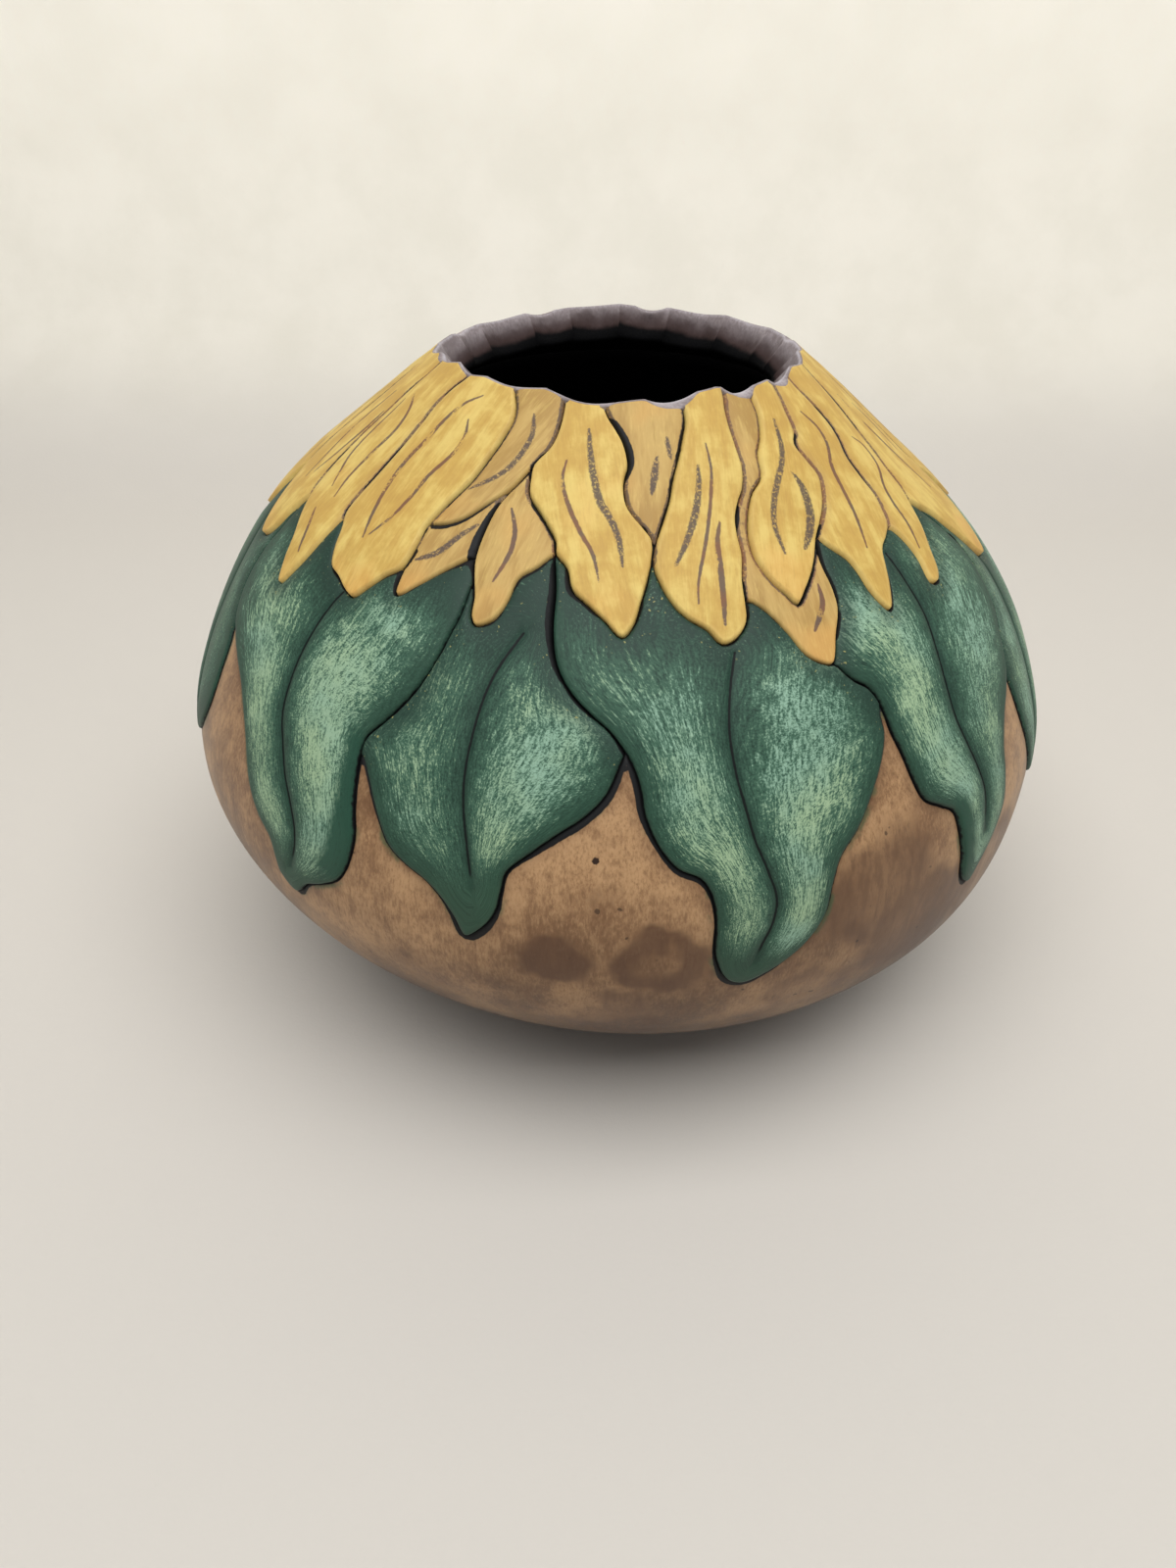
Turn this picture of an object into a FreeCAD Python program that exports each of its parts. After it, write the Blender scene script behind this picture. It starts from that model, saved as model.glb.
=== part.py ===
import FreeCAD, Part

import math
import os

from FreeCAD import Vector

os.makedirs("parts", exist_ok=True)

# A hard-shelled gourd, cut open at the neck, with a ring of leaves and a double
# ring of flower petals carved in low relief round it and a gouged rim.
# Millimetres and degrees. Z is up, the origin is the middle of the foot, and
# azimuth 0 is the front, towards -Y, growing towards +X.

# Outer wall, from the foot to the mouth
foot_radius = 26.9
belly_radius = 89.6
mouth_radius = 33.9
low_arc = 44.0
low_turn = 34.0
shoulder_arc = 41.0
shoulder_turn = 22.5
crown_arc = 90.0
crown_turn = 29.5
wall_thickness = 6.5

# Relief, coats and carved lines
leaf_relief = 0.7
petal_relief = 1.1
line_width = 0.6
coat_thickness = 0.4

# Gouged rim. Its ridges stand above the mouth, and its scoops reach down to it.
rim_height = 6.4
ridge_rise = 1.6
scoop_depth = 1.7
gouge_overrun = 3.0
coat_margin = 3.0

# Where the wall stretches meet, as headings of the wall's line. 0 points outwards
# and 90 straight up.
right_angle = 90.0
half_turn = 180.0
full_turn = 360.0
neck_heading = right_angle + shoulder_turn + crown_turn

# Ridges between the gouge cuts, as shares of a half turn from the front
ridge_shares = (
    -1.0, -0.894, -0.806, -0.683, -0.606, -0.511, -0.417, -0.322, -0.233, -0.114,
    0.028, 0.16, 0.264, 0.356, 0.456, 0.556, 0.644, 0.767, 0.894,
)

# Outlines of the carved panels over half the gourd. Each point is an azimuth in
# degrees and a share of the wall's length, 0 at the foot's edge and 1 at the
# mouth. A panel lies over every panel further down its list.
petal_outline_shares = {
    3: (
        (-47, 1.02), (-48.8, 1), (-50.9, .984), (-51.5, .964), (-50.9, .937), (-50.5, .909),
        (-50.5, .881), (-50.4, .839), (-48.2, .82), (-46.8, .803), (-45, .787), (-42.4, .781),
        (-40, .773), (-38.2, .77), (-36.5, .781), (-34.1, .798), (-32.1, .809), (-31.6, .831),
        (-31.8, .853), (-31.2, .864), (-30, .881), (-28.2, .903), (-27.1, .928), (-26.2, .951),
        (-25.9, .97), (-27.1, .984), (-29.7, 1), (-30.5, 1.02),
    ),
    7: (
        (-14.3, 1.02), (-14.1, 1), (-13.5, .97), (-14.1, .948), (-16.5, .928), (-16.2, .914),
        (-15.3, .9), (-11.8, .881), (-8.5, .859), (-7.9, .846), (-5.9, .834), (-4.7, .814),
        (-2.4, .801), (0, .787), (2.1, .773), (3.8, .784), (5, .803), (6.2, .823), (7.1, .842),
        (7.4, .859), (6.2, .87), (3.5, .889), (2.6, .903), (2.4, .917), (3.1, .934), (2.1, .953),
        (.3, .967), (-1.8, .98), (-3.6, .996), (-4.5, 1.02),
    ),
    9: (
        (17.9, 1.02), (17.6, .992), (17.4, .976), (15.6, .956), (14.1, .939), (12.4, .92),
        (10.9, .895), (9.4, .876), (7.7, .853), (7.3, .837), (8.2, .817), (9.7, .798),
        (11.2, .787), (13.5, .776), (15, .763), (17.1, .766), (19.1, .778), (19.7, .792),
        (20.3, .814), (21.5, .837), (21.8, .856), (22.4, .873), (23.8, .887), (25.6, .9),
        (27.1, .92), (27.4, .939), (27.9, .964), (28.8, .981), (30, .994), (31, 1.02),
    ),
    11: (
        (39.5, 1.02), (38.8, .995), (37.9, .97), (35.3, .948), (32.4, .931), (30.9, .909),
        (27.6, .895), (25.3, .876), (23.8, .853), (23.6, .834), (24.7, .812), (26.5, .794),
        (27.4, .785), (29.4, .795), (31.8, .809), (33.8, .823), (35.6, .837), (38.2, .851),
        (40.6, .864), (42.9, .881), (44.1, .895), (43.5, .912), (42.9, .931), (45, .942),
        (46.5, .964), (48.2, .984), (49.5, 1.02),
    ),
    4: (
        (-36, 1.02), (-36, .88), (-34, .853), (-31.2, .856), (-28.2, .86), (-25.3, .87),
        (-22.4, .887), (-19.4, .903), (-16.8, .926), (-12, .94), (-10, 1.02),
    ),
    6: (
        (-17.4, .94), (-17, .923), (-19.4, .9), (-20.6, .881), (-20.9, .853), (-20.6, .831),
        (-19.7, .814), (-18.8, .798), (-18.5, .781), (-17.6, .774), (-15.3, .781), (-13.8, .798),
        (-12.9, .82), (-10.6, .831), (-8.2, .845), (-5, .86), (-5, .9), (-12, .94),
    ),
    5: (
        (-30, .94), (-36, .87), (-34, .83), (-31.8, .812), (-31, .785), (-28.2, .798),
        (-25.3, .814), (-21.5, .8325), (-19, .84), (-18, .9), (-16, .94),
    ),
    8: (
        (-7, 1.02), (-4, .95), (0, .9), (4, .865), (7.5, .853), (11, .87), (14, .9), (19, .94),
        (21, 1.02),
    ),
    12: (
        (45, 1.02), (41, .9), (36, .86), (36.4, .838), (37.6, .826), (39.4, .812), (40, .798),
        (40.3, .776), (41.8, .756), (44.1, .773), (45.9, .792), (47.4, .806), (50, .814),
        (52.6, .823), (54.1, .837), (55.3, .853), (55.3, .876), (55.6, .9), (57.6, .92),
        (58.5, .937), (58.2, .964), (57.4, .988), (57.2, 1.02),
    ),
    10: (
        (26, 1.02), (25, .93), (21, .88), (18.5, .84), (18.8, .803), (20.9, .795), (22.6, .784),
        (24.4, .764), (25.9, .742), (28.4, .73), (29.4, .731), (31.2, .751), (33.5, .773),
        (34.2, .792), (34.4, .814), (35.6, .835), (36.6, .85), (41, .9), (44, 1.02),
    ),
    13: (
        (50, 1.02), (50, .85), (52.4, .825), (53.8, .806), (54.1, .784), (53.2, .759),
        (54.7, .755), (56.5, .762), (58.5, .781), (61.2, .801), (63.5, .823), (65.3, .842),
        (65.9, .864), (67.1, .887), (67.9, .909), (69.4, .937), (70.6, .964), (72.4, 1),
        (73, 1.02),
    ),
    2: (
        (-67.6, 1.02), (-68, 1), (-68.8, .964), (-68.2, .909), (-67.6, .887), (-66.8, .862),
        (-65.6, .842), (-64.4, .828), (-61.8, .809), (-58.8, .789), (-56.8, .764), (-54.9, .745),
        (-52.9, .764), (-51.5, .787), (-50.7, .812), (-49.5, .84), (-46, .87), (-45, 1.02),
    ),
    1: (
        (-84, 1.02), (-83.6, .92), (-83.6, .87), (-82.4, .842), (-78.2, .809), (-74.4, .77),
        (-72, .757), (-69.7, .762), (-67.6, .778), (-66.5, .798), (-64.7, .826), (-62, .86),
        (-62, 1.02),
    ),
    14: (
        (66, 1.02), (62, .86), (64.4, .828), (66.5, .814), (68.8, .798), (70.6, .776),
        (72.9, .751), (75.9, .726), (78.8, .721), (81.2, .737), (83, .762), (84.2, .793),
        (84.8, .82), (84.4, .86), (85.4, .9), (86.6, .95), (86.4, 1.02),
    ),
    15: (
        (81, 1.02), (80, .86), (84.6, .822), (87, .806), (89.3, .786), (91.2, .765),
        (93.4, .752), (95.6, .768), (97, .796), (99, .83), (102, .86), (101, 1.02),
    ),
}
leaf_outline_shares = {
    5: (
        (27, .885), (27, .76), (29.7, .726), (31.1, .712), (32.8, .702), (33.9, .683), (34.2, .66),
        (35, .636), (35.8, .61), (36.9, .59), (39.4, .576), (41.4, .564), (42.2, .545),
        (43.1, .517), (44.2, .481), (46, .465), (47.8, .483), (50, .507), (52.2, .531),
        (53.1, .56), (53.9, .586), (56.1, .612), (58.3, .626), (60.8, .643), (64, .675),
        (67.1, .7), (68.8, .728), (69.4, .756), (68.2, .784), (66, .82), (65, .885),
    ),
    4: (
        (-7, .885), (-7.1, .805), (-6.9, .768), (-6.1, .745), (-4.4, .725), (-2.2, .709),
        (0, .695), (2.2, .671), (3.1, .65), (3.6, .626), (5, .6), (6.9, .581), (9.2, .571),
        (10.3, .555), (10.8, .531), (10.8, .502), (11.2, .483), (12.2, .462), (13.9, .455),
        (16.1, .462), (18.9, .476), (21.1, .493), (22.8, .517), (23.6, .545), (24.7, .569),
        (27.2, .59), (29.7, .617), (31.7, .64), (33.1, .662), (33.4, .68), (36, .69), (36, .885),
    ),
    2: (
        (-64, .885), (-65.4, .786), (-66.4, .759), (-66.5, .732), (-65.7, .705), (-63.9, .682),
        (-61.1, .668), (-57.8, .655), (-54.4, .641), (-51.7, .623), (-49.4, .602), (-47.8, .582),
        (-46.1, .559), (-43.9, .539), (-41.7, .525), (-40.8, .505), (-40.3, .491), (-37.9, .477),
        (-35.6, .495), (-32.8, .507), (-30.6, .52), (-29.2, .541), (-28.6, .568), (-29.2, .595),
        (-29.6, .623), (-29.6, .645), (-29.2, .659), (-27.2, .677), (-25, .698), (-23.3, .718),
        (-21.9, .741), (-20.8, .764), (-20.1, .78), (-19.7, .805), (-19.6, .885),
    ),
    3: (
        (-26, .885), (-27, .72), (-31, .665), (-30.6, .645), (-29.2, .641), (-28.1, .63),
        (-26.7, .609), (-25.3, .589), (-23.9, .573), (-21.7, .561), (-19.4, .552), (-17.5, .539),
        (-16.1, .523), (-14.9, .505), (-13.1, .516), (-11.7, .534), (-11.1, .555), (-10.6, .573),
        (-8.3, .591), (-5.6, .609), (-2.8, .625), (-.6, .643), (.8, .665), (2.5, .7), (0, .74),
        (-3.5, .78), (-3.5, .885),
    ),
    6: (
        (62, .885), (64, .75), (60, .66), (60.7, .631), (61.1, .602), (61.9, .574), (63.1, .55),
        (64.4, .524), (66.6, .499), (69.6, .515), (72.2, .543), (74.6, .572), (78.4, .596),
        (83.2, .617), (87.6, .644), (91.2, .677), (92.6, .716), (92, .76), (90.4, .8),
        (89.5, .885),
    ),
    1: (
        (-95, .885), (-95, .74), (-91.4, .7), (-88.4, .668), (-84, .643), (-80, .62),
        (-77, .594), (-75.4, .562), (-73.6, .54), (-70, .521), (-67.4, .534), (-65.2, .552),
        (-62.9, .582), (-62.3, .609), (-62.5, .65), (-63.3, .675), (-60, .7), (-58, .885),
    ),
}

# The second half of the ring is the first one turned, and drawn a little freer
back_start = 96.0
back_swing = 5.0
back_lift_share = 0.02

# Bands of the wall that carry the panels, as shares of its length. The petals' band
# runs on up the ridges.
leaf_band_shares = (0.42, 0.9)
petal_band_start_share = 0.69

# Reach of the cutting frames, as shares of the way from the sight point to the wall
near_share = 0.8
far_share = 1.2


def on_heading(heading):
    """The unit step along a heading, as outwards and up."""
    return math.cos(math.radians(heading)), math.sin(math.radians(heading))


def wall_stretches():
    """Start, heading, radius, turn and length of each stretch of the outer wall."""
    heel_turn = right_angle - low_turn
    low_out = low_arc * (1 - math.cos(math.radians(low_turn)))
    heel_arc = (belly_radius - foot_radius - low_out) / math.cos(math.radians(low_turn))
    arcs = (
        (heel_arc, heel_turn),
        (low_arc, low_turn),
        (shoulder_arc, shoulder_turn),
        (crown_arc, crown_turn),
    )
    stretches = []
    out, up, heading = foot_radius, 0.0, 0.0
    for radius, turn in arcs:
        stretches.append((out, up, heading, radius, turn, radius * math.radians(turn)))
        side_out, side_up = on_heading(heading + right_angle)
        end_out, end_up = on_heading(heading + turn - right_angle)
        out += radius * (side_out + end_out)
        up += radius * (side_up + end_up)
        heading += turn
    step_out, step_up = on_heading(neck_heading)
    neck_run = (mouth_radius - out) / step_out
    stretches.append((out, up, heading, None, 0.0, neck_run + ridge_rise))
    return stretches


def end_shares():
    """The share of the wall's length at which each stretch ends."""
    shares = []
    reached = 0.0
    for stretch in stretches:
        reached += stretch[-1]
        shares.append(reached / wall_length)
    return shares


stretches = wall_stretches()
wall_length = sum(stretch[-1] for stretch in stretches) - ridge_rise
stretch_end_shares = end_shares()
ridge_share = stretch_end_shares[-1]


def wall_place(share, proud=0.0):
    """Radius, height and heading of the wall at a share of its length."""
    left = share * wall_length
    for out, up, heading, radius, turn, length in stretches:
        if left <= length:
            break
        left -= length
    else:
        left += length
    if radius is None:
        step_out, step_up = on_heading(heading)
        side_out, side_up = on_heading(heading - right_angle)
        return (
            out + left * step_out + proud * side_out,
            up + left * step_up + proud * side_up,
            heading,
        )
    centre_out, centre_up = on_heading(heading + right_angle)
    here = heading + math.degrees(left / radius)
    side_out, side_up = on_heading(here - right_angle)
    return (
        out + radius * centre_out + (radius + proud) * side_out,
        up + radius * centre_up + (radius + proud) * side_up,
        here,
    )


def section_point(share, proud):
    """A point of the wall in the section plane through +X."""
    out, up, heading = wall_place(share, proud)
    return Vector(out, 0, up)


def wall_line(low_share, high_share, proud):
    """The wall's edges in the section plane, from one share of its length to another."""
    edges = []
    starts = [0.0] + stretch_end_shares
    for stretch, start, end in zip(stretches, starts, stretch_end_shares):
        low, high = max(low_share, start), min(high_share, end)
        if low >= high:
            continue
        first, last = section_point(low, proud), section_point(high, proud)
        if stretch[3] is None:
            edges.append(Part.makeLine(first, last))
        else:
            middle = section_point((low + high) / 2, proud)
            edges.append(Part.Arc(first, middle, last).toShape())
    return edges


def turned(edges):
    """The solid that a closed section makes when it turns about the gourd's axis."""
    wire = Part.Wire(Part.__sortEdges__(edges))
    return Part.Face(wire).revolve(Vector(0, 0, 0), Vector(0, 0, 1), full_turn)


def band(low_share, high_share, inner, outer):
    """A ring of the wall between two shares of its length and two depths."""
    edges = wall_line(low_share, high_share, inner) + wall_line(low_share, high_share, outer)
    for share in (low_share, high_share):
        edges.append(Part.makeLine(section_point(share, inner), section_point(share, outer)))
    return turned(edges)


def bowl(high_share, inner, outer):
    """A closed bowl of the wall from its middle up to a share of the wall's length."""
    low_inner, low_outer = section_point(0.0, inner), section_point(0.0, outer)
    axis_inner, axis_outer = Vector(0, 0, low_inner.z), Vector(0, 0, low_outer.z)
    edges = wall_line(0.0, high_share, inner) + wall_line(0.0, high_share, outer)
    edges.append(Part.makeLine(section_point(high_share, inner), section_point(high_share, outer)))
    edges.append(Part.makeLine(axis_inner, low_inner))
    edges.append(Part.makeLine(axis_outer, low_outer))
    edges.append(Part.makeLine(axis_inner, axis_outer))
    return turned(edges)


def placed(azimuth, out, up):
    """The point at an azimuth, a distance from the axis and a height."""
    angle = math.radians(azimuth)
    return Vector(out * math.sin(angle), -out * math.cos(angle), up)


def gouge_cuts():
    """One round cutter for each scoop of the rim, meeting its neighbours at the ridges.

    A scoop of the mean width has the named depth, and a wider one is cut deeper.
    """
    out, up, heading = wall_place(ridge_share)
    step_out, step_up = on_heading(heading)
    side_out, side_up = on_heading(heading - right_angle)
    depth = wall_thickness + petal_relief + 2 * gouge_overrun
    inside = wall_thickness + gouge_overrun
    mean_half_width = out * math.sin(math.pi / len(ridge_shares))
    cutters = []
    ends = ridge_shares[1:] + (ridge_shares[0] + 2,)
    for first, last in zip(ridge_shares, ends):
        azimuth = half_turn * (first + last) / 2
        half_width = out * math.sin(math.radians(half_turn * (last - first) / 2))
        sag = scoop_depth * half_width / mean_half_width
        gouge_radius = (half_width**2 + sag**2) / (2 * sag)
        rise = gouge_radius - sag
        middle = placed(azimuth, out + rise * step_out, up + rise * step_up)
        along = placed(azimuth, side_out, side_up)
        cutters.append(Part.makeCylinder(gouge_radius, depth, middle - along * inside, along))
    return cutters


def freehand(azimuth, share):
    """A point of an outline, moved as the carver's second half strays from the first."""
    round_back = (azimuth - back_start) / half_turn
    if 0 < round_back < 1:
        stray = math.sin(math.pi * round_back) ** 2
        share += back_lift_share * stray * math.sin(2 * math.pi * round_back) * (1 - share)
        azimuth += back_swing * stray
    return azimuth, share


def grown(outline, width):
    """The outline moved outwards by a width, in the wall's own surface."""
    count = len(outline)
    area = sum(
        outline[i][0] * outline[(i + 1) % count][1] - outline[(i + 1) % count][0] * outline[i][1]
        for i in range(count)
    )
    outwards = math.copysign(width, area)
    moved = []
    for i, (azimuth, share) in enumerate(outline):
        across = math.radians(1) * wall_place(min(share, 1.0))[0]
        before, after = outline[i - 1], outline[(i + 1) % count]
        into = Vector((azimuth - before[0]) * across, (share - before[1]) * wall_length, 0)
        onto = Vector((after[0] - azimuth) * across, (after[1] - share) * wall_length, 0)
        into.normalize()
        onto.normalize()
        mitre = Vector(into.y + onto.y, -into.x - onto.x, 0) * (1 / (1 + max(into * onto, 0.0)))
        moved.append((
            azimuth + outwards * mitre.x / across,
            share + outwards * mitre.y / wall_length,
        ))
    return moved


shoulder_stretch = 2
belly_height = stretches[shoulder_stretch][1]
sight_point = Vector(0, 0, belly_height)


def sight_rays(outline):
    """Steps from the sight point to the wall at each point of an outline."""
    rays = []
    for azimuth, share in outline:
        out, up, heading = wall_place(share)
        rays.append(placed(azimuth, out, up) - sight_point)
    return rays


def flat_face(outline, facing, reach):
    """The outline as seen from the sight point, on a plane square to a facing."""
    corners = []
    for ray in sight_rays(outline):
        corners.append(sight_point + ray * (reach / (ray * facing)))
    return Part.Face(Part.makePolygon(corners + corners[:1]))


def near_each_other(outline, other):
    """Whether two outlines share any azimuth."""
    azimuths = [azimuth for azimuth, share in outline]
    others = [azimuth for azimuth, share in other]
    return min(azimuths) < max(others) and min(others) < max(azimuths)


def cutting_frame(outline, covers):
    """The solid seen through an outline from the sight point, less what covers it."""
    rays = sight_rays(outline)
    facing = Vector(0, 0, 0)
    for ray in rays:
        facing += ray
    facing.normalize()
    reaches = [ray * facing for ray in rays]
    near = near_share * min(reaches)
    far = far_share * max(reaches)
    face = flat_face(grown(outline, -line_width / 2), facing, near)
    lids = [flat_face(grown(cover, line_width / 2), facing, near) for cover in covers]
    if lids:
        face = max(face.cut(lids).Faces, key=lambda piece: piece.Area)
    inner = [vertex.Point for vertex in face.OuterWire.OrderedVertexes]
    outer = [sight_point + (corner - sight_point) * (far / near) for corner in inner]
    sides = []
    for i, corner in enumerate(inner):
        sides.append(Part.Face(Part.makePolygon([
            inner[i - 1], corner, outer[i], outer[i - 1], inner[i - 1],
        ])))
    ends = [Part.Face(Part.makePolygon(loop + loop[:1])) for loop in (inner, outer)]
    frame = Part.Solid(Part.Shell(sides + ends))
    if frame.Volume < 0:
        frame.reverse()
    return frame


def ring_of(outlines):
    """Name number, outline and place in the laying order for both halves of a ring."""
    per_half = len(outlines)
    panels = []
    for half in (0, 1):
        for order, (number, outline) in enumerate(outlines.items()):
            turned_outline = [
                freehand(azimuth + half_turn * half, share) for azimuth, share in outline
            ]
            panels.append((number + per_half * half, order, turned_outline))
    return panels


def in_reach(outline, other):
    """The other outline, turned to the azimuths of this one, or None if it is elsewhere."""
    for turn in (0, -full_turn, full_turn):
        moved = [(azimuth + turn, share) for azimuth, share in other]
        if near_each_other(outline, moved):
            return moved
    return None


def carve_ring(name, panels, layer, lids):
    """Write each panel of a ring as the part of a layer that its outline frames."""
    for number, order, outline in panels:
        above = [other for _, rank, other in panels if rank < order] + lids
        covers = [cover for cover in (in_reach(outline, other) for other in above) if cover]
        solid = cutting_frame(outline, covers).common(layer)
        solid = max(solid.Solids, key=lambda piece: piece.Volume)
        write(f"{name}_{number:02d}", solid)


def write(name, shape):
    """Export one piece and print its size."""
    shape.exportStep(f"parts/{name}.step")
    box = shape.BoundBox
    print(
        f"{name}: {shape.isValid()} {len(shape.Solids)} solid, {len(shape.Faces)} faces, "
        f"{shape.Volume:.0f} mm3, {box.XLength:.1f} x {box.YLength:.1f} x {box.ZLength:.1f} mm"
    )


# The gourd itself, in three stretches of one wall, and the dark coat inside
belly_share = stretch_end_shares[shoulder_stretch - 1]
rim_share = 1 - rim_height / wall_length
coat_share = 1 - coat_margin / wall_length
gouges = gouge_cuts()
write("lower_shell", bowl(belly_share, -wall_thickness, 0.0))
write("upper_shell", band(belly_share, rim_share, -wall_thickness, 0.0))
write("inner_coat", bowl(coat_share, -wall_thickness - coat_thickness, -wall_thickness))
write("carved_rim", band(rim_share, ridge_share, -wall_thickness, 0.0).cut(gouges))

# The carved and painted panels
petals = ring_of(petal_outline_shares)
leaves = ring_of(leaf_outline_shares)
petal_layer = band(petal_band_start_share, ridge_share, 0.0, petal_relief).cut(gouges)
leaf_layer = band(*leaf_band_shares, 0.0, leaf_relief)
carve_ring("petal", petals, petal_layer, [])
carve_ring("leaf", leaves, leaf_layer, [outline for _, _, outline in petals])
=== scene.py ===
# %% [markdown]
# # A carved and painted gourd
# The object is a dried, hard-shelled gourd, cut open at the neck. A carver has drawn a ring of
# green leaves and a ring of yellow petals on it, cut round each of them, rounded the edges,
# burnt the lines black and painted the panels. The rim is gouged into shallow scoops.
# The solids of the part are loaded first and stay as they are. What follows builds a finer
# skin for each of them, in the same place.

import math

import bmesh
import bpy
import numpy as np
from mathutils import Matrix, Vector, noise
from mathutils.geometry import delaunay_2d_cdt


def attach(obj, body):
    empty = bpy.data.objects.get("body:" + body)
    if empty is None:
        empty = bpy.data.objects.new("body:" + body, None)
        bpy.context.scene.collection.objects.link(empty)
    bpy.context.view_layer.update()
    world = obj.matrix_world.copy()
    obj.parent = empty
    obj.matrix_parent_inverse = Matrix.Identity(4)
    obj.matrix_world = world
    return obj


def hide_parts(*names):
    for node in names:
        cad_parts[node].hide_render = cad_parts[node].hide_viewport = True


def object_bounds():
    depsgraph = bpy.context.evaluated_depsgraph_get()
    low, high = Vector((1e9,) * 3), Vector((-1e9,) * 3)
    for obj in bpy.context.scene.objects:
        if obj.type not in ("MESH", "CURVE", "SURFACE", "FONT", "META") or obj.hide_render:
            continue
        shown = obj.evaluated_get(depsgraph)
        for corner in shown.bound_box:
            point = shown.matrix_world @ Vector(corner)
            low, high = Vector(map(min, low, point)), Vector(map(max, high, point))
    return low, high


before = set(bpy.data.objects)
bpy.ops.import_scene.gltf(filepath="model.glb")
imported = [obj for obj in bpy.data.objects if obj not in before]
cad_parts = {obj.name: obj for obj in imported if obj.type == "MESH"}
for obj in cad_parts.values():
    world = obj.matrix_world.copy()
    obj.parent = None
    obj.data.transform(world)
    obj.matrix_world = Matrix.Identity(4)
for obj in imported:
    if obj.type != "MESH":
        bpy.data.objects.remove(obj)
cad_low, cad_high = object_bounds()
print("solids:", len(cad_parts), "high corner", [round(side, 4) for side in cad_high])

# %% [markdown]
# ## The wall
# A gourd grows round, so its wall is a line turned about an axis. The line is five stretches
# that run into each other without a kink: four arcs and the straight neck. A list of points
# would do too, but arcs have few sizes, and each of them means something.
# Everything below is drawn in millimetres on this wall, as an azimuth and a share of the
# wall's length from the foot to the mouth. Azimuth 0 is the front.

# %% Sizes of the wall, in millimetres and degrees
mm = 0.001
foot_radius = 26.9
belly_radius = 89.6
mouth_radius = 33.9
low_arc = 44.0
low_turn = 34.0
shoulder_arc = 41.0
shoulder_turn = 22.5
crown_arc = 90.0
crown_turn = 29.5
wall_thickness = 6.5
rim_height = 6.4
coat_thickness = 0.4
coat_margin = 3.0


# %% Follow the wall in small steps
def cosine(degrees):
    """The cosine of an angle in degrees."""
    return math.cos(math.radians(degrees))


def piled(values):
    """The running sum of values along the trail."""
    middles = (values[1:] + values[:-1]) / 2
    return np.concatenate([[0], np.cumsum(middles)]) * trail_step


trail_step = 0.05
past_mouth_share = 1.06
low_out = low_arc * (1 - cosine(low_turn))
heel_arc = (belly_radius - foot_radius - low_out) / cosine(low_turn)
neck_turn = shoulder_turn + crown_turn
crown_out = shoulder_arc * (1 - cosine(shoulder_turn))
crown_out += crown_arc * (cosine(shoulder_turn) - cosine(neck_turn))
neck_run = (belly_radius - crown_out - mouth_radius) / cosine(90 - neck_turn)
turns = [90 - low_turn, low_turn, shoulder_turn, crown_turn]
arcs = [heel_arc, low_arc, shoulder_arc, crown_arc]
lengths = [arc * math.radians(turn) for arc, turn in zip(arcs, turns)] + [neck_run]
wall_length = sum(lengths)
trail = np.arange(0, wall_length * past_mouth_share, trail_step)
ends = np.cumsum([0] + lengths)
trail_heading = np.radians(np.interp(trail, ends, np.cumsum([0] + turns + [0])))
trail_radius = foot_radius + piled(np.cos(trail_heading))
trail_height = piled(np.sin(trail_heading))
trail_rise = piled(1 / trail_radius)
mouth_height = float(np.interp(wall_length, trail, trail_height))
print("wall length", round(wall_length, 2), "height", round(mouth_height, 2))

# %% [markdown]
# ## A flat chart of the wall
# Drawing on a round wall is easier on paper. The chart's first coordinate is the azimuth, and
# its second grows by a step along the wall divided by the wall's radius there. A map made this
# way keeps shapes: a short distance on it, times the radius, is the same distance on the gourd
# in every direction.
# The real gourd isn't quite turned either. Its foot and its neck sit a little to one side, so
# each point is moved sideways by an amount that depends on its height alone.

# %% From the chart to the gourd
lean_foot = 4.27
lean_foot_low = 15.0
lean_foot_fade = 40.0
lean_neck = -1.5
lean_neck_height = 105.0
lean_neck_fade = 14.0


def eased(value):
    """A smooth step from 0 to 1 as the value goes from 0 to 1."""
    held = np.clip(value, 0, 1)
    return held * held * (3 - 2 * held)


def lean(height):
    """How far the gourd stands to one side at a height."""
    foot = 1 - eased((height - lean_foot_low) / lean_foot_fade)
    neck = np.exp(-(((height - lean_neck_height) / lean_neck_fade) ** 2))
    return lean_foot * foot + lean_neck * neck


def rise_of(share):
    """The chart's second coordinate at a share of the wall's length."""
    return np.interp(np.asarray(share) * wall_length, trail, trail_rise)


def share_of(rise):
    """The share of the wall's length at the chart's second coordinate."""
    return np.interp(rise, trail_rise, trail) / wall_length


def radius_at(rise):
    """The wall's radius at the chart's second coordinate."""
    return np.interp(rise, trail_rise, trail_radius)


def on_gourd(azimuth, share, proud):
    """Points in metres at azimuths in radians, shares of the wall and heights above it."""
    azimuth, share, proud = np.broadcast_arrays(azimuth, share, proud)
    along = share * wall_length
    heading = np.interp(along, trail, trail_heading)
    out = np.interp(along, trail, trail_radius) + proud * np.sin(heading)
    up = np.interp(along, trail, trail_height) - proud * np.cos(heading)
    side = out * np.sin(azimuth) + lean(up)
    return np.stack([side, -out * np.cos(azimuth), up], axis=-1) * mm


def lifted(places, proud):
    """Points in metres of chart places, at heights above the wall."""
    return on_gourd(places[:, 0], share_of(places[:, 1]), proud)


def turned_from(places, azimuth):
    """Radians round the gourd from an azimuth in degrees to chart places, the short way."""
    return (places[:, 0] - math.radians(azimuth) + math.pi) % (2 * math.pi) - math.pi


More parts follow.
